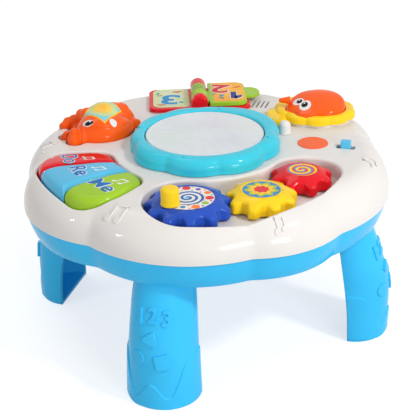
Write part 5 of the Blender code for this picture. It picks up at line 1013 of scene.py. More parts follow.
def leg_figures_bm():
    """1, 2, 3 and the three shapes, laid on a leg that points along +X."""
    parts = [laid(letter_bm(text, 0.0150, 0.0018, 0.00022, 0.00030), on_leg(y, z))
             for text, y, z in (("1", -0.0105, 0.0735), ("2", -0.0010, 0.0752), ("3", 0.0095, 0.0735))]
    triangle = rounded_polygon([(-0.0098, 0.0580), (0.0045, 0.0530), (0.0010, 0.0655)], 0.0018)
    square = rounded_polygon([(0.0036, 0.0355), (0.0138, 0.0365), (0.0112, 0.0490), (0.0008, 0.0465)], 0.0012)
    parts.append(laid(figure_bm(triangle, 0.0017), on_leg(0.0, 0.0)))
    parts.append(laid(figure_bm(circle(0.0056, (-0.0118, 0.0425)), 0.0009), on_leg(0.0, 0.0)))
    parts.append(laid(figure_bm(square, 0.0017), on_leg(0.0, 0.0)))
    return joined_bm(*parts)


def build_legs():
    """Four legs from one mould, each with its plug and figures."""
    for name, direction in LEG_DIRECTIONS.items():
        turn = Matrix.Rotation(math.radians(direction), 4, "Z")
        leg = solid("leg_" + name + "_moulding", loft_bm(leg_rings()))
        leg.data.transform(turn)
        plug = leg_plug("plug", 0.0040, SKIRT_Z - 0.0009, SKIRT_Z + 0.010, direction)
        leg = carve(leg, "UNION", plug)
        piece(leg, "table", "sky_plastic", "leg_" + name, angle_deg=50.0)
        figures = solid("leg_" + name + "_figures", leg_figures_bm())
        figures.data.transform(turn)
        piece(figures, "table", "sky_plastic", angle_deg=50.0)


build_legs()

# %% [markdown]
# ## The drum
#
# A thick glossy ring with eight soft lobes holds the drum's pearly disc. The ring is one closed
# loop of sections: up the lobed outer wall, over the rounded shoulder, across the crown, and down
# the round opening to the ledge. Four small nubs stand on the crown over the legs. The disc is a
# light-up lens: its face has shallow facets that run out from the middle and catch the light.

# %% Bezel
BEZEL_LOBES = ((60.0, 0.0670, 0.022), (0.0, 0.0612, 0.030), (193.0, 0.0602, 0.030)) + tuple((direction, 0.0624, 0.030) for direction in
                                                                    (-126.5, -83.5, -45.0, 96.0, 126.0, 158.0))
BEZEL_POINTS, CREST_Z, DRUM_TOP_Z = 192, 0.162, 0.161


def bezel_ring(inset, height):
    """The ring's lobed outline, drawn in by an inset; the lobes fade towards the crown."""
    ring = []
    for i in range(BEZEL_POINTS):
        angle = math.tau * i / BEZEL_POINTS
        ring.append((*polar(lobed_reach(angle, BEZEL_LOBES, 420.0) - inset, math.degrees(angle)), height))
    return ring


def build_bezel():
    """The ring with its nubs."""
    rings = [bezel_ring(0.0006, TOP_Z + GAP), bezel_ring(0.0, TOP_Z + 0.0009), bezel_ring(0.0, 0.1543)]
    rings += [bezel_ring(0.0074 * (1.0 - math.cos(t)), 0.1543 + 0.0077 * math.sin(t))
              for t in [math.pi / 2 * i / 9 for i in range(1, 10)]]
    inner = [(0.0500, CREST_Z), (0.0493, CREST_Z - 0.0002), (0.0487, CREST_Z - 0.0007), (0.0483, CREST_Z - 0.0014),
             (0.0481, CREST_Z - 0.0024), (0.0481, 0.1523), (0.0436, 0.1523), (0.0436, TOP_Z + GAP)]
    rings += [at_height(circle(radius, count=BEZEL_POINTS), height) for radius, height in inner]
    bezel = solid("drum_ring", loft_bm(rings, loop=True))
    nubs = []
    for k in range(4):
        nub = lid_bm(circle(0.0026, polar(0.0533, 90.0 * k), 32), CREST_Z - 0.0025, lambda x, y: CREST_Z + 0.0009, 0.0010)
        nubs.append(solid("nub", nub))
    carve(bezel, "UNION", merged("nubs", *nubs))
    bores = [column("bore", circle(0.0016, polar(0.0545, a), 16), TOP_Z - 0.002, 0.1545) for a in (0, 120, 240)]
    carve(bezel, "DIFFERENCE", merged("bores", *bores))
    return piece(bezel, "table", "turquoise_plastic", "drum_bezel", angle_deg=50.0)


build_bezel()

# %% [markdown]
# ## The pearly lens
#
# Its plastic is translucent grey-white. A painted glow of green and violet lies over each place where a
# coloured lamp sits below, and painted lighter radial lines stand for the sheen of the facets. The facets
# themselves are real: rings of points are raised and lowered by a few hundredths of a millimetre, and flat
# shading shows each one.

# %% Disc
PEARL = (0.73, 0.77, 0.80)


def pearl_finish():
    """Grey-white plastic with a painted coloured glow over each lamp below, and painted lighter radial lines for the
    sheen of the facets.
    """
    made, tree, shader = new_finish("pearl_plastic")
    place = object_place(tree)
    colour = node(tree, "RGB").outputs[0]
    colour.default_value = (*PEARL, 1.0)
    # Painted glow: soft coloured pools where the lamps below would shine through the lens.
    painted_glows = ((90.0, 0.024, (0.74, 0.68, 0.78)), (210.0, 0.030, (0.64, 0.78, 0.68)), (330.0, 0.026, (0.68, 0.72, 0.82)),
             (30.0, 0.036, (0.78, 0.80, 0.74)))
    for direction, reach, tint in painted_glows:
        spot = node(tree, "VectorMath", {0: place, 1: (*polar(reach, direction), DRUM_TOP_Z)}, operation="DISTANCE")
        share = spread(tree, spot.outputs["Value"], 0.004, 0.022, 0.55, 0.0)
        colour = shade(tree, "MIX", colour, tint, share)
    # Painted sheen: lighter radial lines stand for light caught by the facets.
    split = node(tree, "SeparateXYZ", {0: place}).outputs
    turn = calc(tree, "ARCTAN2", split[1], split[0])
    fan = calc(tree, "PINGPONG", calc(tree, "MULTIPLY", turn, 24.0 / math.pi), 1.0)
    colour = shade(tree, "MIX", colour, (0.80, 0.82, 0.83), calc(tree, "MULTIPLY", fan, 0.30))
    moulded_over(tree, shader, colour, 0.20, clouds=0.06, grain=0.05, coat=0.4)
    shader.inputs["Subsurface Weight"].default_value = 0.15
    shader.inputs["Subsurface Radius"].default_value = (0.004, 0.004, 0.004)
    return made


FINISHES["pearl_plastic"] = pearl_finish()


def facet_height(radius, k):
    """Small fixed rises and falls that make the facets."""
    return 0.00010 * math.sin(2.3 * k + 410.0 * radius) + 0.00006 * math.cos(5.1 * k - 230.0 * radius)


def build_disc():
    """The faceted lens with its guide skirt and catches."""
    count, under = 48, DRUM_TOP_Z - 0.0026
    rings = [at_height(circle(0.0430, count=count), 0.141), at_height(circle(0.0430, count=count), under),
             at_height(circle(0.0475, count=count), under), at_height(circle(0.0475, count=count), DRUM_TOP_Z - 0.0008),
             at_height(circle(0.0468, count=count), DRUM_TOP_Z - 0.0001)]
    for radius in (0.0440, 0.0335, 0.0225, 0.0120, 0.0045):
        points = circle(radius, count=count)
        rings.append([(x, y, DRUM_TOP_Z - 0.00016 + facet_height(radius, k)) for k, (x, y) in enumerate(points)])
    disc = solid("drum_lens", loft_bm(rings))
    carve(disc, "DIFFERENCE", column("lens_hollow", circle(0.0410, count=48), 0.138, under))
    catches = [column("catch", [polar(r, a + d) for r, d in ((0.0425, -6.6), (0.0458, -6.2), (0.0458, 6.2), (0.0425, 6.6))],
                      0.1432, 0.1462) for a in (30.0, 150.0, 270.0)]
    carve(disc, "UNION", merged("catches", *catches))
    piece(disc, "drum", "pearl_plastic", "drum_disc", angle_deg=0.4)
    build_spring("drum_spring", "drum", (0.0, 0.0), (0.0072, 0.1343, 0.1530), (0.0058, 0.1490, 0.1583))
    return disc


build_disc()

# %% [markdown]
# ## Gears
#
# The blue, yellow and red gears mesh in the recess. Their teeth are broad and round so that small
# fingers come to no harm. Each gear is a lid over its tooth outline: the wall goes straight up, the
# rim is rounded, and the face falls away outside the printed disc. The three turn together, so
# the visual teeth keep the CAD outline's turn and reach.

# %% Gear bodies
GEAR_TOP_Z, GEAR_BOTTOM_Z = 0.1505, 0.1382


def tooth_outline(teeth, turn_deg, centre, steps=18):
    """Broad round teeth between the root and the tip."""
    outline, count = [], teeth * steps
    for i in range(count):
        wave = math.cos(math.tau * i / steps)
        share = min(1.0, max(0.0, (wave + 0.72) / 1.60))
        share = share * share * (3.0 - 2.0 * share)
        radius = TOOTH_MODULE * teeth / 2 - TOOTH_ROOT + (TOOTH_TIP + TOOTH_ROOT) * share
        outline.append(polar(radius, 360.0 * i / count + turn_deg, centre))
    return outline


def gear_height(place, teeth):
    """The falling face of a gear, with a slightly sunken seat for the printed disc."""
    tip = tip_radius(teeth)
    face = tip - 0.0114
    reaches = (0.0, face - 0.0012, face - 0.0008, face, face + 0.0020, face + 0.0045, tip - 0.0030, tip + 0.002)
    falls = (0.0004, 0.0004, 0.0, 0.0, 0.00045, 0.0015, 0.0033, 0.0056)

    def height(x, y):
        return GEAR_TOP_Z - float(np.interp(math.hypot(x - place[0], y - place[1]), reaches, falls))
    return height


GEAR_STEPS = (0.0, 0.05, 0.14, 0.28, 0.46, 0.70, 1.0, 1.3, 1.7, 2.2, 2.8)


def build_gear(colour):
    """One gear with its hub and shaft."""
    place, turn, teeth = GEARS[colour]
    face = tip_radius(teeth) - 0.0114
    bm = gear_lid(tooth_outline(teeth, turn, place), place, gear_height(place, teeth), face)
    gear = solid("gear_" + colour + "_body", bm)
    shaft = merged("shaft", column("shaft", circle(0.0032, place, 32), POCKET_FLOOR - 0.0022, GEAR_BOTTOM_Z + 0.0012))
    hub = column("hub", circle(0.0056, place, 32), POCKET_FLOOR + GAP, GEAR_BOTTOM_Z + 0.0010)
    carve(gear, "UNION", hub, shaft)
    bore = column("bore", circle(0.0016, place, 16), POCKET_FLOOR - 0.006, POCKET_FLOOR + 0.0062)
    carve(gear, "DIFFERENCE", bore)
    slots = {"blue": "deep_blue_plastic", "yellow": "yellow_plastic", "red": "red_plastic"}
    return piece(gear, "gear_" + colour, slots[colour], "gear_" + colour, angle_deg=48.0)


def gear_lid(outline, place, height, face):
    """A lid whose inner rings are circles, so the seat of the printed disc is round."""
    middle, ring = np.array(place), np.array(outline)
    arms = ring - middle
    reach = np.linalg.norm(arms, axis=1)
    rounding = 0.0022
    chamfer = [(x, y, GEAR_BOTTOM_Z) for x, y in middle + arms * (1.0 - 0.0006 / reach)[:, None]]
    rings = [chamfer, [(x, y, GEAR_BOTTOM_Z + 0.0006) for x, y in outline]]
    for step in GEAR_STEPS:
        spots = middle + arms * (1.0 - step * rounding / reach)[:, None]
        inside = np.minimum(gap_to(outline, spots), rounding)
        drop = rounding - np.sqrt(np.maximum(rounding ** 2 - (rounding - inside) ** 2, 0.0))
        rings.append([(x, y, height(x, y) - d) for (x, y), d in zip(spots, drop)])
    ways = arms / reach[:, None]
    for radius in (face + 0.0006, face, face - 0.0008, face - 0.0012, face * 0.6, face * 0.25, face * 0.04):
        rings.append([(x, y, height(x, y)) for x, y in middle + ways * radius])
    return loft_bm(rings)


for gear_colour in GEARS:
    build_gear(gear_colour)

# %% [markdown]
# ## Printed discs on the gears
#
# Each gear carries a printed disc in plain geometric patterns: dots round a spiral, a star on
# blue, and a spiral of bands. The patterns are drawn by arithmetic on each point's distance and
# direction from the gear's centre. They turn with the gear because they are fixed to its mesh.

# %% Patterns
INK = {"white": (0.86, 0.85, 0.82), "navy": (0.02, 0.12, 0.45), "red": (0.80, 0.02, 0.03), "orange": (1.0, 0.22, 0.02),
       "yellow": (1.0, 0.62, 0.02), "olive": (0.42, 0.52, 0.05), "purple": (0.28, 0.05, 0.40), "blue": (0.03, 0.26, 0.58),
       "sky": (0.35, 0.70, 0.85), "green": (0.30, 0.55, 0.05)}


def polar_of(tree, centre):
    """Distance and direction of each point from a centre, seen from above."""
    split = node(tree, "SeparateXYZ", {0: object_place(tree, (*centre, 0.0))}).outputs
    reach = calc(tree, "SQRT", calc(tree, "ADD", calc(tree, "POWER", split[0], 2.0), calc(tree, "POWER", split[1], 2.0)))
    return reach, calc(tree, "ARCTAN2", split[1], split[0])


def inside(tree, value, limit):
    """One where a value is below a limit, with a fine soft edge."""
    return spread(tree, calc(tree, "SUBTRACT", limit, value), -0.00010, 0.00010, 0.0, 1.0)


def dot(tree, centre, reach, direction, radius):
    """One inside a dot."""
    x, y = polar(reach, direction, centre)
    return inside(tree, polar_of(tree, (x, y))[0], radius)


def star_edge(tree, turn, points, outer, depth, phase=0.0):
    """The reach of a star's edge in each direction."""
    saw = calc(tree, "PINGPONG", calc(tree, "MULTIPLY_ADD", turn, points / math.pi, phase), 1.0)
    return calc(tree, "MULTIPLY_ADD", saw, -depth, outer)


def winding(tree, reach, turn, pitch):
    """Zero to one across each turn of a spiral."""
    turns = calc(tree, "MULTIPLY_ADD", turn, 1.0 / math.tau, 8.0)
    return calc(tree, "FRACT", calc(tree, "ADD", calc(tree, "DIVIDE", reach, pitch), turns))


def spiral_print(tree, centre):
    """A spiral with dots about it."""
    reach, turn = polar_of(tree, centre)
    colour = shade(tree, "MIX", INK["white"], INK["sky"], inside(tree, reach, 0.0026))
    wind = winding(tree, reach, turn, 0.0044)
    line = calc(tree, "MULTIPLY", inside(tree, calc(tree, "ABSOLUTE", calc(tree, "SUBTRACT", wind, 0.5)), 0.24),
                inside(tree, reach, 0.0122))
    colour = shade(tree, "MIX", colour, INK["navy"], line)
    inks = ("red", "orange", "purple", "red", "green", "orange", "yellow", "red", "blue", "orange", "green")
    for k, ink in enumerate(inks):
        colour = shade(tree, "MIX", colour, INK[ink], dot(tree, centre, 0.0158 + 0.0006 * (k % 2), 32.7 * k + 12.0,
                                                          0.0032 - 0.0006 * (k % 3)))
        colour = shade(tree, "MIX", colour, INK[inks[(k + 4) % 11]], dot(tree, centre, 0.0178, 32.7 * k + 29.0, 0.0010))
        colour = shade(tree, "MIX", colour, INK[inks[(k + 6) % 11]], dot(tree, centre, 0.0129, 32.7 * k + 27.0, 0.0008))
    return colour


def star_print(tree, centre):
    """Three stars, one in another."""
    reach, turn = polar_of(tree, centre)
    colour = shade(tree, "MIX", INK["blue"], INK["olive"], inside(tree, reach, star_edge(tree, turn, 9, 0.0131, 0.0036)))
    colour = shade(tree, "MIX", colour, INK["yellow"], inside(tree, reach, star_edge(tree, turn, 9, 0.0104, 0.0032)))
    return shade(tree, "MIX", colour, INK["red"], inside(tree, reach, star_edge(tree, turn, 8, 0.0062, 0.0014)))


def band_print(tree, centre):
    """Yellow and blue bands that wind into a red disc."""
    reach, turn = polar_of(tree, centre)
    wind = winding(tree, reach, turn, 0.0050)
    colour = shade(tree, "MIX", INK["red"], INK["yellow"], inside(tree, wind, 0.44))
    colour = shade(tree, "MIX", colour, INK["blue"], calc(tree, "MULTIPLY", inside(tree, 0.44, wind), inside(tree, wind, 0.70)))
    return shade(tree, "MIX", INK["red"], colour, inside(tree, reach, 0.0120))


def printed(name, pattern, centre, roughness=0.22):
    """A printed paper disc under clear film."""
    made, tree, shader = new_finish(name)
    moulded_over(tree, shader, pattern(tree, centre), roughness, clouds=0.03, grain=0.10, wear=0.0, coat=0.5)
    return made


def build_prints():
    """The printed discs, each a thin rounded plate in its seat."""
    for colour, radius, pattern in (("blue", 0.0194, spiral_print), ("yellow", 0.0140, star_print), ("red", 0.0118, band_print)):
        place = GEARS[colour][0]
        plate = solid("gear_" + colour + "_print", lid_bm(circle(radius, place, 96), GEAR_TOP_Z - 0.0006,
                                                          lambda x, y: GEAR_TOP_Z - 0.00015, 0.0002))
        piece(plate, "gear_" + colour, "white_plastic", finish=printed(colour + "_gear_print", pattern, place))


build_prints()

# %% Turning knob


def build_knob():
    """The knob on the blue gear: a round post with a rounded crown and a slightly wider foot."""
    place = polar(0.0166, -122.0, GEARS["blue"][0])
    sections = [(0.0030, 0.1489), (0.0030, 0.1508), (0.0069, 0.1508), (0.00715, 0.1514), (0.00700, 0.1522), (0.00675, 0.1535),
                (0.00665, 0.1615)]
    sections += [(0.00665 - 0.0022 * (1.0 - math.cos(t)), 0.1615 + 0.0024 * math.sin(t)) for t in (0.3, 0.6, 0.9, 1.2, 1.57)]
    sections += [(0.0030, 0.16398), (0.0008, 0.1640)]
    knob = solid("gear_knob_post", loft_bm([at_height(circle(r, place, 64), z) for r, z in sections]))
    return piece(knob, "gear_blue", "yellow_plastic", "gear_knob", angle_deg=50.0)


build_knob()

# %% [markdown]
# ## Keys
#
# Three glossy keys share one domed surface, which is fullest a third of the way out and ends in a
# tall rounded wall over the tray's shoulder. They rock on a rod at their inner ends. Each key is the
# keyboard's outline cut between two directions, with softened corners, and hollow below like a
# thin moulding. Its note name is printed on it, upright for a child who stands at this side.

# %% Key shapes
KEY_EDGES = {"back": ((0.070, -165.0), (0.140, -165.0)),
             "red_blue": ((0.075, -140.8), (0.100, -143.4), (0.116, -145.6), (0.126, -146.0), (0.135, -144.6)),
             "blue_green": ((0.075, -124.6), (0.102, -126.0), (0.118, -126.6), (0.128, -126.4), (0.135, -124.8)),
             "front": ((0.070, -100.0), (0.140, -100.0))}
KEY_SIDES = {"red": ("back", "red_blue"), "blue": ("red_blue", "blue_green"), "green": ("blue_green", "front")}
KEY_DOME = ((0.0, 0.84), (0.12, 0.93), (0.28, 1.0), (0.45, 1.0), (0.60, 0.99), (0.74, 0.97), (0.86, 0.93), (0.94, 0.87), (1.0, 0.78))
KEY_SLOTS = {"red": "red_plastic", "blue": "light_blue_plastic", "green": "green_plastic"}


def key_height(x, y):
    """The keys' common dome."""
    share = min(1.0, max(0.0, (math.hypot(x, y) - KEYS_INNER) / (KEYS_OUTER - KEYS_INNER)))
    aside = (math.degrees(math.atan2(y, x)) + 133.0) / 27.0
    return 0.1400 + 0.0134 * flow(KEY_DOME, share, 1) - 0.0042 * abs(aside) ** 2.2


def clipped(outline, edge, keep):
    """The part of an outline on one side of a curved line that runs outwards."""
    def turn(radius):
        return flow(edge, radius, 1)

    def side(p):
        return keep * (math.degrees(math.atan2(p[1], p[0])) - turn(math.hypot(*p)))
    out = []
    for a, b in zip(outline, outline[1:] + outline[:1]):
        if side(a) >= 0.0:
            out.append(a)
        if (side(a) >= 0.0) != (side(b) >= 0.0):
            t = side(a) / (side(a) - side(b))
            cross = (a[0] + (b[0] - a[0]) * t, a[1] + (b[1] - a[1]) * t)
            out.append(cross)
            if side(a) >= 0.0:
                reach = math.hypot(*cross)
                other = KEYS_INNER if reach > (KEYS_INNER + KEYS_OUTER) / 2 else KEYS_OUTER
                out += [polar(r, turn(r)) for r in np.linspace(reach, other, 24)[1:-1]]
    return out


def evened(outline, spacing, passes):
    """An outline with even steps and softened corners."""
    points = np.array(outline + outline[:1])
    ends = np.concatenate(([0.0], np.cumsum(np.linalg.norm(np.diff(points, axis=0), axis=1))))
    stops = np.linspace(0.0, ends[-1], max(12, int(ends[-1] / spacing)), endpoint=False)
    even = np.stack([np.interp(stops, ends, points[:, k]) for k in (0, 1)], axis=1)
    for _ in range(passes):
        even = 0.5 * even + 0.25 * (np.roll(even, 1, axis=0) + np.roll(even, -1, axis=0))
    return [tuple(p) for p in even]


def key_outline(colour, growth=0.0):
    """One key from above."""
    start, end = KEY_SIDES[colour]
    outline = clipped(clipped(keys_outline(), KEY_EDGES[start], 1.0), KEY_EDGES[end], -1.0)
    return grown(evened(outline, 0.0010, 4), growth - 0.00025)


def build_key(colour):
    """One hollow key."""
    outline = key_outline(colour)
    key = solid("key_" + colour + "_top", lid_bm(outline, 0.1386, key_height, 0.0050))
    ring = np.array(grown(outline, -0.0026))
    room = [tuple(p) for p in ring[gap_to(outline, ring) > 0.0024]]
    hollow = column("hollow", evened(room, 0.0015, 2), 0.1340, 0.1452)
    carve(key, "DIFFERENCE", hollow)
    return piece(key, "key_" + colour, KEY_SLOTS[colour], "key_" + colour, angle_deg=50.0)


for key_colour in KEY_SIDES:
    build_key(key_colour)

# %% [markdown]
# ## Note names
#
# The names are prints: blue letters with a white edge, and beside them a small white pair of
# notes. Letters are made by a text object, thickened, slanted, cut into strips and bent over the
# dome a tenth of a millimetre up.

# %% Lettering on the keys


def plain_finish(name, colour, roughness=0.3):
    """Printing ink."""
    return moulded(name, colour, roughness, clouds=0.05, grain=0.12, wear=0.0, coat=0.1)


INKS = {"white": plain_finish("white_ink", (0.84, 0.83, 0.82)), "blue": plain_finish("blue_ink", (0.02, 0.17, 0.52)),
        "mid_blue": plain_finish("mid_blue_ink", (0.02, 0.30, 0.62)), "red": plain_finish("red_ink", (0.72, 0.02, 0.03)),
        "navy": plain_finish("navy_ink", (0.03, 0.04, 0.25)), "salmon": plain_finish("salmon_ink", (0.85, 0.20, 0.12)),
        "black": plain_finish("black_ink", (0.012, 0.012, 0.014), 0.12)}
SLANT = 0.22


def on_key(direction, reach, lift):
    """The rule that lays flat lettering on the keys' dome, its foot outwards."""
    middle = Vector(polar(reach, direction))
    inward = -middle.normalized()
    along = Vector((inward.y, -inward.x))

    def place(x, y, z):
        spot = middle + along * (x + SLANT * y) + inward * y
        return (spot.x, spot.y, key_height(spot.x, spot.y) + z + lift)
    return place


def note_bm(size, depth):
    """A pair of joined notes as a flat solid: two heads, two stems and a beam."""
    parts = []
    for k in (-0.30, 0.30):
        head = [((k - 0.10) * size + 0.17 * size * math.cos(a) * math.cos(0.4) - 0.12 * size * math.sin(a) * math.sin(0.4),
                 -0.40 * size + 0.17 * size * math.cos(a) * math.sin(0.4) + 0.12 * size * math.sin(a) * math.cos(0.4))
                for a in [math.tau * i / 20 for i in range(20)]]
        parts.append(loft_bm([at_height(head, -depth), at_height(head, depth)]))
        stem = [(k * size + x * size, y * size) for x, y in ((0.0, -0.40), (0.07, -0.40), (0.07, 0.42), (0.0, 0.42))]
        parts.append(loft_bm([at_height(stem, -depth), at_height(stem, depth)]))
    beam = [(x * size, y * size) for x, y in ((-0.30, 0.24), (0.37, 0.30), (0.37, 0.48), (-0.30, 0.42))]
    parts.append(loft_bm([at_height(beam, -depth), at_height(beam, depth)]))
    bm = joined_bm(*parts)
    xs = [v.co.x for v in bm.verts]
    return sliced(bm, 0.0015, min(xs), max(xs))


def label_key(colour, text, direction, reach):
    """A note name with its white edge, and a pair of notes beside it."""
    body, slot = "key_" + colour, "white_plastic"
    edge = solid("key_%s_label_edge" % colour, laid(letter_bm(text, 0.0172, 0.0004, 0.00080), on_key(direction, reach, 0.0)))
    piece(edge, body, slot, finish=INKS["white"])
    name = solid("key_%s_label" % colour, laid(letter_bm(text, 0.0172, 0.0004, 0.00015), on_key(direction, reach, 0.00012)))
    piece(name, body, slot, finish=INKS["blue"])
    notes = solid("key_%s_notes" % colour, laid(note_bm(0.0090, 0.0002), on_key(direction + 3.0, reach - 0.0145, 0.0)))
    piece(notes, body, slot, finish=INKS["white"])


for key_colour, key_text, key_direction in (("red", "Do", -151.0), ("blue", "Re", -135.5), ("green", "Me", -118.5)):
    label_key(key_colour, key_text, key_direction, 0.1090)

# %% [markdown]
# ## Counting book
#
# A flat red base carries a round spine. The page swings over on it with a green knuckle between
# two red ones, and its tab gives a finger hold. The knuckles are short lofts along the spine. The
# paper sheets are thin plates, with figures that are upright for a child at the far side.

# %% Book helpers
SPINE_Z, SPINE_R = 0.1575, 0.0070
PAGE_TOP_Z, BASE_TOP_Z = 0.1566, 0.1527


def along_spine(name, sections, count=56):
    """A round bar along the spine from (radius, place along) sections."""
    rings = [[tuple(book_point(r * math.cos(a), d, SPINE_Z + r * math.sin(a))) for a in [math.tau * i / count for i in range(count)]]
             for r, d in sections]
    return solid(name, loft_bm(rings))


def knuckle(name, low, high, low_round, high_round):
    """A knuckle with rounded ends."""
    sections = [(SPINE_R - low_round * (1 - math.sin(t)), low + low_round * (1 - math.cos(t))) for t in (0.0, 0.35, 0.7, 1.1, 1.571)]
    sections += [(SPINE_R - high_round * (1 - math.cos(t)), high - high_round * (1 - math.sin(t))) for t in (0.0, 0.47, 0.87, 1.22, 1.571)]
    return along_spine(name, sections)


def on_book(across, along, height, turn_deg=180.0):
    """The rule that lays flat lettering on the book, turned for a child at the far side."""
    turn = math.radians(turn_deg)

    def place(x, y, z):
        return tuple(book_point(across + x * math.cos(turn) - y * math.sin(turn),
                                along + x * math.sin(turn) + y * math.cos(turn), height + z))
    return place


def book_box(low, high, radii, bottom, top, rounding, name):
    """A flat plate of the book with round corners and a rounded rim."""
    return solid(name, lid_bm(rounded_box(low, high, radii), bottom, lambda x, y: top, rounding))


# %% Base and page


def build_book():
    """The base with its knuckles, and the page with its own."""
    base = book_box((-0.0446, 0.0786), (0.0446, 0.1309), 0.0075, 0.1497, BASE_TOP_Z, 0.0014, "book_floor")
    near, far = knuckle("near", 0.0779, 0.0848, 0.0026, 0.0003), knuckle("far", 0.1122, 0.1270, 0.0003, 0.0026)
    foot = [book_box((-0.0069, low), (0.0069, high), 0.0020, 0.1515, SPINE_Z - 0.0006, 0.0004, "foot")
            for low, high in ((0.0782, 0.0847), (0.1123, 0.1266))]
    carve(base, "UNION", merged("near_parts", near), merged("far_parts", far), *foot)
    room = along_spine("room", [(0.0078, 0.0850), (0.0078, 0.1120)])
    bore = along_spine("bore", [(0.0018, 0.0812), (0.0018, 0.1242)], 24)
    carve(base, "DIFFERENCE", room, bore)
    screws = [column("screw_bore", circle(0.0030, book_point(side, 0.10475)[:2], 24), 0.1480, 0.1514) for side in (-0.0260, 0.0260)]
    carve(base, "DIFFERENCE", *screws)
    piece(base, "table", "red_plastic", "book_base", angle_deg=46.0)

    page = book_box((0.0086, 0.0800), (0.0418, 0.1325), (0.0085, 0.0012, 0.0012, 0.0085), 0.1532, PAGE_TOP_Z, 0.0009, "page_body")
    tab = book_box((0.0380, 0.0970), (0.0546, 0.1200), (0.0100, 0.0010, 0.0010, 0.0100), 0.1534, PAGE_TOP_Z - 0.0006, 0.0012, "tab")
    dent = solid("dent", loft_bm([at_height(oval(0.0478 , 0.1085, 0.0028, 0.0070), 0.1557), at_height(oval(0.0478, 0.1085, 0.0040, 0.0082), 0.1563)]))
    root = book_box((0.0030, 0.0856), (0.0110, 0.1114), 0.0004, 0.1534, PAGE_TOP_Z - 0.0002, 0.0003, "root")
    middle = knuckle("middle", 0.0853, 0.1117, 0.0006, 0.0006)
    ribs = [along_spine("rib", [(SPINE_R - 0.0002, d - 0.0008), (SPINE_R + 0.00042, d), (SPINE_R - 0.0002, d + 0.0008)])
            for d in (0.0905, 0.0945, 0.0985, 0.1025, 0.1065)]
    carve(page, "UNION", tab, root, middle, *ribs)
    carve(page, "DIFFERENCE", dent, along_spine("bore", [(0.0018, 0.0840), (0.0018, 0.1130)], 24))
    piece(page, "book_page", "green_plastic", "book_page", angle_deg=46.0)


def oval(across, along, half_across, half_along, count=48):
    """An oval on the book."""
    return [tuple(book_point(across + half_across * math.cos(a), along + half_along * math.sin(a))[:2])
            for a in [math.tau * i / count for i in range(count)]]


build_book()

# %% Sheets, figures and small notes


def washed(name, first, second):
    """Paper with a soft wash from one colour to another under clear film."""
    made, tree, shader = new_finish(name)
    wash = node(tree, "TexNoise", {"Vector": object_place(tree), "Scale": 48.0, "Detail": 3.0}).outputs["Fac"]
    moulded_over(tree, shader, shade(tree, "MIX", first, second, spread(tree, wash, 0.35, 0.68, 0.0, 1.0)), 0.26,
                 clouds=0.04, grain=0.14, wear=0.0, coat=0.35)
    return made


def small_notes_bm(size, depth):
    """One quaver as a flat solid: a head, a stem and a flag."""
    head = [(-0.16 * size + 0.22 * size * math.cos(a), -0.38 * size + 0.15 * size * math.sin(a)) for a in [math.tau * i / 20 for i in range(20)]]
    stem = [(x * size, y * size) for x, y in ((0.0, -0.36), (0.08, -0.36), (0.08, 0.46), (0.0, 0.46))]
    flag = [(x * size, y * size) for x, y in ((0.02, 0.30), (0.22, 0.12), (0.30, -0.04), (0.36, -0.02), (0.30, 0.20), (0.08, 0.46), (0.02, 0.46))]
    return joined_bm(*[loft_bm([at_height(o, -depth), at_height(o, depth)]) for o in (head, stem, flag)])


def squiggle_bm(size, depth, count=26):
    """A short wavy stroke as a flat solid."""
    line = [((i / (count - 1) - 0.5) * size, 0.16 * size * math.sin(3.2 * math.pi * i / (count - 1))) for i in range(count)]
    side = 0.07 * size
    outline = [(x, y - side) for x, y in line] + [(x, y + side) for x, y in reversed(line)]
    return loft_bm([at_height(outline, -depth), at_height(outline, depth)])


def widened(bm, factor=1.22):
    """Lettering made broader."""
    bmesh.ops.scale(bm, vec=(factor, 1.0, 1.0), verts=bm.verts)
    return bm


def one_bm(size, depth, weight):
    """The figure 1, drawn as a bold stroke with a flag."""
    outline = [(x * size, y * size) for x, y in ((-0.04, 0.40), (-0.04, 0.16), (-0.30, 0.02), (-0.30, 0.16), (-0.08, 0.40))]
    stem = [(x * size, y * size) for x, y in ((-0.05, -0.40), (0.12, -0.40), (0.12, 0.40), (-0.05, 0.40))]
    parts = [loft_bm([at_height(grown(o, weight), -depth), at_height(grown(o, weight), depth)]) for o in (stem, outline[::-1])]
    bm = joined_bm(*parts)
    return sliced(bm, 0.0015, min(v.co.x for v in bm.verts), max(v.co.x for v in bm.verts))


def figure_strokes(text, size, weight):
    """A figure as a flat solid."""
    return one_bm(size, 0.00015, weight) if text == "1" else widened(letter_bm(text, size, 0.0003, weight))


def print_figure(text, size, across, along, height, body, ink, turn_deg):
    """A figure with a white edge."""
    name = "book_figure_" + text
    place = on_book(across, along, height, turn_deg)
    flat = "red_plastic"
    piece(solid(name + "_edge", laid(figure_strokes(text, size, 0.0016), place)), body, flat, finish=INKS["white"])
    above = on_book(across, along, height + 0.0001, turn_deg)
    piece(solid(name, laid(figure_strokes(text, size, 0.0008), above)), body, flat, finish=INKS[ink])


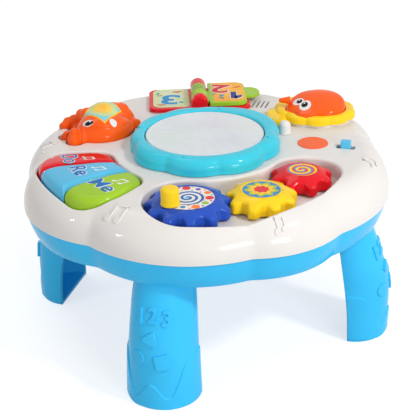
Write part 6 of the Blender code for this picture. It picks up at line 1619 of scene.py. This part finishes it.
def print_book():
    """The two sheets and all that is printed on them."""
    left = book_box((-0.0408, 0.0832), (-0.0090, 0.1292), (0.0008, 0.0075, 0.0075, 0.0008), BASE_TOP_Z - 0.0003, BASE_TOP_Z + 0.00012,
                    0.0001, "book_left_sheet")
    piece(left, "table", "white_plastic", finish=washed("left_sheet_paper", (0.62, 0.74, 0.36), (0.74, 0.80, 0.50)))
    strip = book_box((-0.0112, 0.0832), (-0.0090, 0.1292), 0.0004, BASE_TOP_Z, BASE_TOP_Z + 0.0002, 0.0001, "book_left_strip")
    piece(strip, "table", "white_plastic", finish=washed("strip_paper", (0.72, 0.70, 0.44), (0.56, 0.66, 0.30)))
    right = book_box((0.0125, 0.0826), (0.0406, 0.1316), (0.0078, 0.0008, 0.0008, 0.0078), PAGE_TOP_Z - 0.0003, PAGE_TOP_Z + 0.00012,
                     0.0001, "book_page_sheet")
    piece(right, "book_page", "white_plastic", finish=washed("page_sheet_paper", (1.0, 0.42, 0.01), (1.0, 0.56, 0.03)))
    print_figure("3", 0.0320, -0.0257, 0.1030, BASE_TOP_Z + 0.0002, "table", "mid_blue", 172.0)
    print_figure("2", 0.0280, 0.0195, 0.1155, PAGE_TOP_Z + 0.0002, "book_page", "red", 168.0)
    print_figure("1", 0.0205, 0.0312, 0.0965, PAGE_TOP_Z + 0.0002, "book_page", "navy", 178.0)
    low, high = BASE_TOP_Z + 0.0002, PAGE_TOP_Z + 0.0002
    marks = (("left_salmon", "table", "salmon", low, (("s", -0.0188, 0.1215, 0.0085, 10), ("s", -0.0336, 0.0890, 0.0080, 0),
                                                      ("s", -0.0345, 0.1130, 0.0040, 30))),
             ("left_blue", "table", "mid_blue", low, (("n", -0.0183, 0.0925, 0.0085, 150), ("n", -0.0362, 0.1172, 0.0055, 200))),
             ("page_blue", "book_page", "mid_blue", high, (("n", 0.0200, 0.0935, 0.0100, 200), ("n", 0.0135, 0.1010, 0.0040, 170))),
             ("page_salmon", "book_page", "salmon", high, (("s", 0.0350, 0.1180, 0.0070, 20),)))
    for name, body, ink, height, spots in marks:
        parts = [laid(small_notes_bm(size, 0.00012) if kind == "n" else squiggle_bm(size, 0.00012), on_book(t, d, height, turn))
                 for kind, t, d, size, turn in spots]
        piece(solid("book_%s_marks" % name, joined_bm(*parts)), body, "white_plastic", finish=INKS[ink])


print_book()

# %% [markdown]
# ## Lion
#
# A yellow scalloped body frames an orange cap that presses like a button. The cap is a lid over
# a smooth closed outline: head and ears to the left, the rump to the right. Its nose is a small
# cone. The eyes are thin plates, draped on the cap by rays cast down onto its surface.

# %% Draping


def smooth_loop(points, steps=6):
    """A smooth closed curve through points."""
    curve, count = [], len(points)
    for i in range(count):
        a, b, c, d = (np.array(points[(i + k) % count]) for k in (-1, 0, 1, 2))
        for s in range(steps):
            t = s / steps
            curve.append(tuple(0.5 * (2 * b + (c - a) * t + (2 * a - 5 * b + 4 * c - d) * t * t + (3 * b - a - 3 * c + d) * t ** 3)))
    return curve


def draped_over(target, middle, turn_deg=0.0, lift=0.0):
    """The rule that drapes a flat shape on an object, along the surface's normals."""
    turn = math.radians(turn_deg)

    def place(x, y, z):
        px = middle[0] + x * math.cos(turn) - y * math.sin(turn)
        py = middle[1] + x * math.sin(turn) + y * math.cos(turn)
        hit, spot, normal, _ = target.ray_cast(Vector((px, py, 0.25)), Vector((0.0, 0.0, -1.0)))
        return tuple(spot + normal * (z + lift)) if hit else (px, py, 0.15)
    return place


def plate_bm(half_across, half_along, depth, rings=6, count=40):
    """A thin oval plate with a soft rim and rings to bend by."""
    def ring(share, z):
        return [(half_across * share * math.cos(a), half_along * share * math.sin(a), z) for a in [math.tau * i / count for i in range(count)]]
    sections = [ring(0.5, -depth), ring(0.97, -depth), ring(1.0, 0.0), ring(0.97, depth * 0.7)]
    return loft_bm(sections + [ring(0.92 * (1 - i / rings) + 0.01, depth) for i in range(rings + 1)])


# %% Body and cap
CAP_POINTS = [(0.0512, 0.0820), (0.0512, 0.0730), (0.0550, 0.0685), (0.0610, 0.0650), (0.0637, 0.0610), (0.0672, 0.0592), (0.0715, 0.0586),
              (0.0752, 0.0600), (0.0785, 0.0630), (0.0840, 0.0640), (0.0915, 0.0668), (0.0978, 0.0730), (0.1003, 0.0815), (0.0985, 0.0915),
              (0.0920, 0.0990), (0.0845, 0.1027), (0.0785, 0.1040), (0.0725, 0.1037), (0.0685, 0.1003), (0.0640, 0.0998), (0.0590, 0.0960),
              (0.0540, 0.0895)]
CAP_TOP_Z, CAP_BOTTOM_Z = 0.1693, 0.1553


def scalloped(growth=0.0, count=200):
    """The body's outline, with round scallops."""
    outline = []
    for i in range(count):
        angle = math.tau * i / count
        wave = growth - 0.0009 + 0.0022 * abs(math.cos(5 * angle + 0.35)) ** 0.7
        outline.append((LION_CENTRE[0] + (LION_HALF[0] + wave) * math.cos(angle), LION_CENTRE[1] + (LION_HALF[1] + wave) * math.sin(angle)))
    return outline


def cap_height(x, y):
    """The cap's gently domed top, lower towards the nose and the near ear."""
    u, v = (x - 0.0790) / 0.0270, (y - 0.0930) / 0.0320
    across = (0.0085 if u > 0.0 else 0.0055) * u * u
    return CAP_TOP_Z - across - 0.0088 * max(0.0, -v) ** 1.5 - 0.0020 * max(0.0, v * 3.0) ** 2


def turned_oval(centre, half_long, half_wide, turn_deg, count=72):
    """An oval turned about its centre."""
    c, s = math.cos(math.radians(turn_deg)), math.sin(math.radians(turn_deg))
    points = [(half_long * math.cos(a), half_wide * math.sin(a)) for a in [math.tau * i / count for i in range(count)]]
    return [(centre[0] + x * c - y * s, centre[1] + x * s + y * c) for x, y in points]


def build_lion():
    """Body, cap, eyes."""
    cap_outline = smooth_loop(CAP_POINTS)
    body = solid("lion_mane", lid_bm(scalloped(), 0.1515, lambda x, y: 0.1582, 0.0034, LION_CENTRE))
    arm = solid("arm", lid_bm(turned_oval((0.0446, 0.0660), 0.0168, 0.0090, 113.0), 0.1515, lambda x, y: 0.1556, 0.0034))
    carve(body, "UNION", arm)
    seat = well_cutter_lion(grown(cap_outline, 0.0004))
    carve(body, "DIFFERENCE", seat)
    piece(body, "table", "yellow_plastic", "lion_body", angle_deg=52.0)

    cap = solid("lion_cap", lid_bm(cap_outline, CAP_BOTTOM_Z, cap_height, 0.0030, (0.0770, 0.0830)))
    nose = [Vector((0.0540, 0.0778, 0.1648)), Vector((0.0446, 0.0758, 0.1645))]
    cone = cone_between(nose[0], nose[1], 0.0034, 0.0021)
    carve(cap, "DIFFERENCE", column("spring_room", circle(0.0100, LION_HEAD_CENTRE, 40), CAP_BOTTOM_Z - 0.001, 0.1645))
    stem = column("stem", circle(0.0055, LION_HEAD_CENTRE, 40), 0.1440, 0.1655)
    catch = column("catch", circle(0.0078, LION_HEAD_CENTRE, 40), 0.1437, 0.1462)
    carve(cap, "UNION", cone, stem, catch)
    piece(cap, "lion_head", "orange_plastic", "lion_head", angle_deg=50.0)
    build_spring("lion_spring", "lion_head", LION_HEAD_CENTRE, (0.0086, 0.1515, 0.1600), (0.0072, 0.1560, 0.1642))
    for name, spot, turn, half, ink, lift in (("near_white", NEAR_EYE, 8.0, (0.0050, 0.0064), "white", 0.0),
                                              ("far_white", FAR_EYE, 20.0, (0.0046, 0.0048), "white", 0.0),
                                              ("near_black", NEAR_PUPIL, 10.0, (0.0027, 0.0034), "black", 0.00022),
                                              ("far_black", FAR_PUPIL, 10.0, (0.0024, 0.0028), "black", 0.00022),
                                              ("near_glint", NEAR_GLINT, 0.0, (0.0008, 0.0009), "white", 0.00040),
                                              ("far_glint", FAR_GLINT, 0.0, (0.0007, 0.0007), "white", 0.00040)):
        plate = solid("lion_eye_" + name, laid(plate_bm(*half, 0.0002), draped_over(cap, spot, turn, lift)))
        piece(plate, "lion_head", "white_plastic", finish=INKS[ink])


NEAR_EYE, FAR_EYE = (0.0681, 0.0715), (0.0610, 0.0778)
NEAR_PUPIL, FAR_PUPIL = (0.0676, 0.0722), (0.0622, 0.0775)
NEAR_GLINT, FAR_GLINT = (0.0672, 0.0738), (0.0620, 0.0788)


def well_cutter_lion(outline):
    """The seat that the cap sinks into, open right through, with a soft lip."""
    rings = [at_height(outline, 0.1500), at_height(outline, 0.1576)]
    for swing in (0.3, 0.6, 0.9, 1.25):
        rings.append(at_height(grown(outline, 0.0008 * (1 - math.cos(swing))), 0.1576 + 0.0007 * math.sin(swing)))
    return solid("seat", loft_bm(rings + [at_height(grown(outline, 0.0008), 0.1600)]))


def cone_between(start, end, start_radius, end_radius, count=40):
    """A cone between two points with a rounded end."""
    way = (end - start).normalized()
    side = way.cross(Vector((0.0, 0.0, 1.0))).normalized()
    up = side.cross(way)
    reach = (end - start).length
    sections = [(start_radius, 0.0), (end_radius, reach - end_radius)]
    sections += [(end_radius * math.cos(t), reach - end_radius + end_radius * math.sin(t)) for t in (0.3, 0.6, 0.9, 1.2, 1.45)]
    return solid("cone", loft_bm([[tuple(start + way * d + side * (r * math.cos(a)) + up * (r * math.sin(a)))
                                   for a in [math.tau * i / count for i in range(count)]] for r, d in sections]))


build_lion()

# %% [markdown]
# ## Elephant
#
# The elephant is a soft relief that presses down as one button. Such a shape is best blended from
# round masses: body, haunch, rump, feet and a curled trunk. They are joined as ellipsoids, remeshed
# into one skin and relaxed, then cut to the outline of its well. The stem below holds the catch.

# %% Round masses
MASSES = (  # centre, half sizes (mm), turn about the upright
    ((-92.5, 7.0, 147.0), (21.5, 25.0, 21.0), 10.0), ((-94.0, 21.0, 151.0), (20.0, 20.0, 19.8), 0.0),
    ((-79.5, 13.0, 147.0), (14.0, 19.0, 16.8), 20.0), ((-84.0, 33.0, 149.0), (13.0, 13.5, 19.0), 0.0),
    ((-88.0, 28.0, 150.0), (14.0, 13.0, 19.8), 0.0), ((-71.5, 29.0, 146.0), (8.5, 11.0, 10.0), -30.0),
    ((-106.6, -14.8, 150.0), (5.0, 7.8, 12.0), 0.0),
    ((-115.0, -7.5, 147.5), (6.5, 7.4, 8.2), 0.0), ((-105.0, 36.0, 148.0), (11.0, 11.0, 13.0), 0.0),
    ((-106.5, 15.0, 161.8), (6.0, 6.0, 6.5), 0.0), ((-112.5, 17.5, 160.0), (5.2, 5.2, 6.0), 0.0),
    ((-119.5, 20.0, 155.0), (5.2, 5.2, 5.6), 0.0), ((-125.5, 19.0, 152.0), (5.0, 5.0, 5.2), 0.0),
    ((-128.5, 15.0, 148.5), (4.6, 4.8, 5.2), 0.0), ((-120.0, 30.0, 147.5), (7.5, 7.5, 8.0), 0.0),
    ((-112.0, 22.0, 147.0), (12.0, 12.0, 8.0), 0.0))
TOE_CREASES = (((-0.1132, -0.0085, 0.1535), (0.0006, 0.0068, 0.0040), -18.0), ((-0.1168, -0.0080, 0.1520), (0.0006, 0.0062, 0.0040), -30.0))


def ellipsoid(centre, halves, turn_deg, segments=40):
    """A round mass."""
    bm = bmesh.new()
    bmesh.ops.create_uvsphere(bm, u_segments=segments, v_segments=segments // 2, radius=1.0)
    place = Matrix.Translation(centre) @ Matrix.Rotation(math.radians(turn_deg), 4, "Z") @ Matrix.Diagonal((*halves, 1.0))
    bmesh.ops.transform(bm, matrix=place, verts=bm.verts)
    return solid("mass", bm)


def blended(obj, voxel, passes):
    """One skin over an object's masses, relaxed."""
    skin = obj.modifiers.new("skin", "REMESH")
    skin.mode, skin.voxel_size = "VOXEL", voxel
    settled(obj)
    relax = obj.modifiers.new("relax", "SMOOTH")
    relax.factor, relax.iterations = 0.5, passes
    return settled(obj)


def build_elephant():
    """The elephant's button with its stem and catch."""
    masses = [ellipsoid([v * MM for v in centre], [v * MM for v in halves], turn) for centre, halves, turn in MASSES]
    body = blended(merged("elephant", *masses), 0.0008, 4)
    within = solid("within", loft_bm([at_height(elephant_outline(-0.0006), 0.1468), at_height(elephant_outline(-0.0002), 0.1474),
                                      at_height(elephant_outline(-0.0002), 0.1515), at_height(elephant_outline(-0.0006), 0.1535),
                                      at_height(elephant_outline(-0.0014), 0.1555), at_height(elephant_outline(-0.0028), 0.1578),
                                      at_height(elephant_outline(-0.0036), 0.1600), at_height(elephant_outline(-0.0036), 0.1760)]))
    carve(body, "INTERSECT", within)
    body = blended(body, 0.0006, 16)
    carve(body, "DIFFERENCE", column("spring_room", circle(0.0100, ELEPHANT_CENTRE, 40), 0.1460, 0.1630))
    stem = column("stem", circle(0.0055, ELEPHANT_CENTRE, 40), 0.1385, 0.1645)
    catch = column("catch", circle(0.0078, ELEPHANT_CENTRE, 40), 0.1382, 0.1407)
    carve(body, "UNION", stem, catch)
    creases = [ellipsoid(centre, halves, turn, 16) for centre, halves, turn in TOE_CREASES]
    carve(body, "DIFFERENCE", *creases)
    piece(body, "elephant", "orange_plastic", "elephant_button", angle_deg=60.0)
    build_spring("elephant_spring", "elephant", ELEPHANT_CENTRE, (0.0086, 0.1438, 0.1590), (0.0072, 0.1545, 0.1628))
    return body


elephant_body = build_elephant()

# %% Saddle, eye and spot
SADDLE_CORNERS = [(-0.1060, 0.0060), (-0.0975, 0.0310), (-0.0798, 0.0225), (-0.0838, -0.0030)]
EYE, PUPIL, GLINT, SPOT = (-0.0970, -0.0065), (-0.0957, -0.0071), (-0.0952, -0.0058), (-0.0784, 0.0022)


def grid_bm(corners, depth, across=22, along=22, growth=0.0):
    """A thin four-cornered plate with a grid to bend by."""
    middle = np.mean(np.array(corners), axis=0)
    a, b, c, d = (np.array(p) + (np.array(p) - middle) * growth for p in corners)
    rows = [[a * (1 - u) * (1 - v) + b * u * (1 - v) + c * u * v + d * (1 - u) * v for u in np.linspace(0, 1, across)] for v in np.linspace(0, 1, along)]
    bm = bmesh.new()
    verts = [[bm.verts.new((*p, 0.0)) for p in row] for row in rows]
    for low, high in zip(verts, verts[1:]):
        for i in range(across - 1):
            bm.faces.new((low[i], low[i + 1], high[i + 1], high[i]))
    made = bmesh.ops.extrude_face_region(bm, geom=bm.faces[:])["geom"]
    bmesh.ops.translate(bm, vec=(0.0, 0.0, depth), verts=[v for v in made if isinstance(v, bmesh.types.BMVert)])
    bmesh.ops.recalc_face_normals(bm, faces=bm.faces)
    return bm


def saddle_paper(centre):
    """A warm sun-like wash inside a green and turquoise border."""
    made, tree, shader = new_finish("saddle_print")
    reach, turn = polar_of(tree, centre)
    wobble = calc(tree, "MULTIPLY", node(tree, "TexNoise", {"Vector": object_place(tree), "Scale": 150.0, "Detail": 2.0}).outputs["Fac"], 0.0035)
    ring = calc(tree, "ADD", reach, wobble)
    colour = shade(tree, "MIX", (1.0, 0.48, 0.02), (0.95, 0.62, 0.10), spread(tree, ring, 0.003, 0.0065, 0.0, 1.0))
    colour = shade(tree, "MIX", colour, (0.62, 0.72, 0.30), spread(tree, ring, 0.0085, 0.0110, 0.0, 1.0))
    colour = shade(tree, "MIX", colour, (0.22, 0.66, 0.80), spread(tree, ring, 0.0125, 0.0150, 0.0, 1.0))
    moulded_over(tree, shader, colour, 0.22, clouds=0.03, grain=0.08, wear=0.0, coat=0.4)
    return made


def decorate_elephant():
    """The saddle cloth, the eye and the pale spot."""
    over = draped_over(elephant_body, (0.0, 0.0))
    piece(solid("elephant_saddle_rim", laid(grid_bm(SADDLE_CORNERS, 0.0003, growth=0.10), over)), "elephant", "orange_plastic",
          finish=plain_finish("saddle_rim_ink", (1.0, 0.55, 0.03)))
    middle = tuple(np.mean(np.array(SADDLE_CORNERS), axis=0))
    lifted = draped_over(elephant_body, (0.0, 0.0), 0.0, 0.00025)
    piece(solid("elephant_saddle", laid(grid_bm(SADDLE_CORNERS, 0.0003), lifted)), "elephant", "orange_plastic", finish=saddle_paper(middle))
    for name, spot, turn, half, ink, lift in (("eye_white", EYE, -9.0, (0.0050, 0.0027), "white", 0.0),
                                              ("eye_black", PUPIL, 6.0, (0.0036, 0.0019), "black", 0.00022),
                                              ("eye_glint", GLINT, 0.0, (0.0009, 0.0009), "white", 0.00040),
                                              ("spot", SPOT, 12.0, (0.0029, 0.0038), "white", 0.0)):
        plate = solid("elephant_" + name, laid(plate_bm(*half, 0.0002), draped_over(elephant_body, spot, turn, lift)))
        piece(plate, "elephant", "orange_plastic", finish=INKS[ink])


decorate_elephant()

# %% [markdown]
# ## Post, badge and switch
#
# Three small things stand between the drum and the edge: a white round-topped post, a bare orange
# plate sunk against the tray, and the slide switch with grip ribs in its slot.

# %% Small pieces


def turned_piece(name, sections, place, count=64):
    """A round piece from (radius, height) sections."""
    return solid(name, loft_bm([at_height(circle(r, place, count), z) for r, z in sections]))


def build_small_pieces():
    """Post, badge and switch slider."""
    post = [(0.0026, 0.1443), (0.0026, 0.1493), (0.0051, 0.1493), (0.0050, 0.1500), (0.0048, 0.1510), (0.0048, 0.1560)]
    post += [(0.0048 * math.cos(t), 0.1560 + 0.0040 * math.sin(t)) for t in (0.25, 0.5, 0.75, 1.0, 1.2, 1.38, 1.5)]
    piece(turned_piece("post", post, POST_PLACE), "table", "white_plastic", "white_post", angle_deg=60.0)
    plate = solid("badge", lid_bm(circle(0.0123, BADGE_PLACE, 96), TOP_Z + 0.0001, lambda x, y: TOP_Z + 0.0007, 0.0004))
    piece(plate, "table", "orange_plastic", "badge_plate")
    x, y = SWITCH_PLACE
    slider = solid("switch_knob", lid_bm(rounded_box((x - 0.0040, y - 0.0030), (x + 0.0040, y + 0.0030), 0.0012, 0.0, 15.0),
                                         0.1440, lambda px, py: 0.1546 + 0.0004 * abs(math.sin((px - x) / 0.0008)), 0.0008))
    piece(slider, "switch_slider", "light_blue_plastic", "switch_slider", angle_deg=50.0)


build_small_pieces()

# %% [markdown]
# ## Notes on the tray
#
# Four pairs of notes stand out of the white tray like parts of its moulding. They are flat shapes
# laid on the tray by its own height function, so they follow the shoulder as it falls away.

# %% Embossed notes
TRAY_NOTES = ((-0.0292, -0.1245, 0.0150, -20.0), (0.0838, -0.1073, 0.0090, 38.0), (0.1330, 0.0010, 0.0120, 70.0),
              (-0.1270, -0.0230, 0.0120, -60.0))


def on_tray(middle, turn_deg):
    """The rule that lays a flat shape on the tray."""
    turn = math.radians(turn_deg)

    def place(x, y, z):
        px = middle[0] + x * math.cos(turn) - y * math.sin(turn)
        py = middle[1] + x * math.sin(turn) + y * math.cos(turn)
        return (px, py, tray_height(px, py) + z + 0.0003)
    return place


def emboss_tray():
    """Raised notes on the tray."""
    parts = []
    for x, y, size, turn in TRAY_NOTES:
        notes = note_bm(size, 0.0010)
        for step in np.arange(-0.6 * size, 0.6 * size, 0.0015):
            bmesh.ops.bisect_plane(notes, geom=[*notes.verts, *notes.edges, *notes.faces], plane_co=(0.0, step, 0.0), plane_no=(0.0, 1.0, 0.0))
        parts.append(laid(notes, on_tray((x, y), turn)))
    piece(solid("tray_notes", joined_bm(*parts)), "table", "white_plastic")


emboss_tray()

# %% [markdown]
# ## Parts that stay as the CAD has them
#
# Screws, springs, cells, boards and the other inner parts keep their CAD meshes. They only get the
# finish that their material has: plated steel, green board, dark rubber, white plastic.

# %% Finishes of the inner parts
LED_COLOURS = {"led_red": RED, "led_green": (0.10, 0.60, 0.05), "led_blue": (0.05, 0.20, 0.85)}
INNER = {"circuit_board": "board", "key_board": "board", "key_pads": "pad_rubber", "speaker": "dark_plastic",
         "switch_body": "dark_plastic", "battery_1": "dark_plastic", "battery_2": "dark_plastic",
         "battery_3": "dark_plastic", "light_dish": "white_plastic", "battery_door": "sky_plastic"}


def finish_inner_parts():
    """Gives each CAD part that still shows its finish."""
    count = 0
    for name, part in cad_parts.items():
        if part.hide_render:
            continue
        if name in LED_COLOURS:
            finish = moulded(name + "_lens", LED_COLOURS[name], 0.12, grain=0.02)
        else:
            finish = FINISHES[INNER.get(name, "steel")]
        if not part.material_slots:
            part.data.materials.append(finish)
        for place in part.material_slots:
            place.material = finish
        count += 1
    print("CAD parts given a finish:", count)


finish_inner_parts()
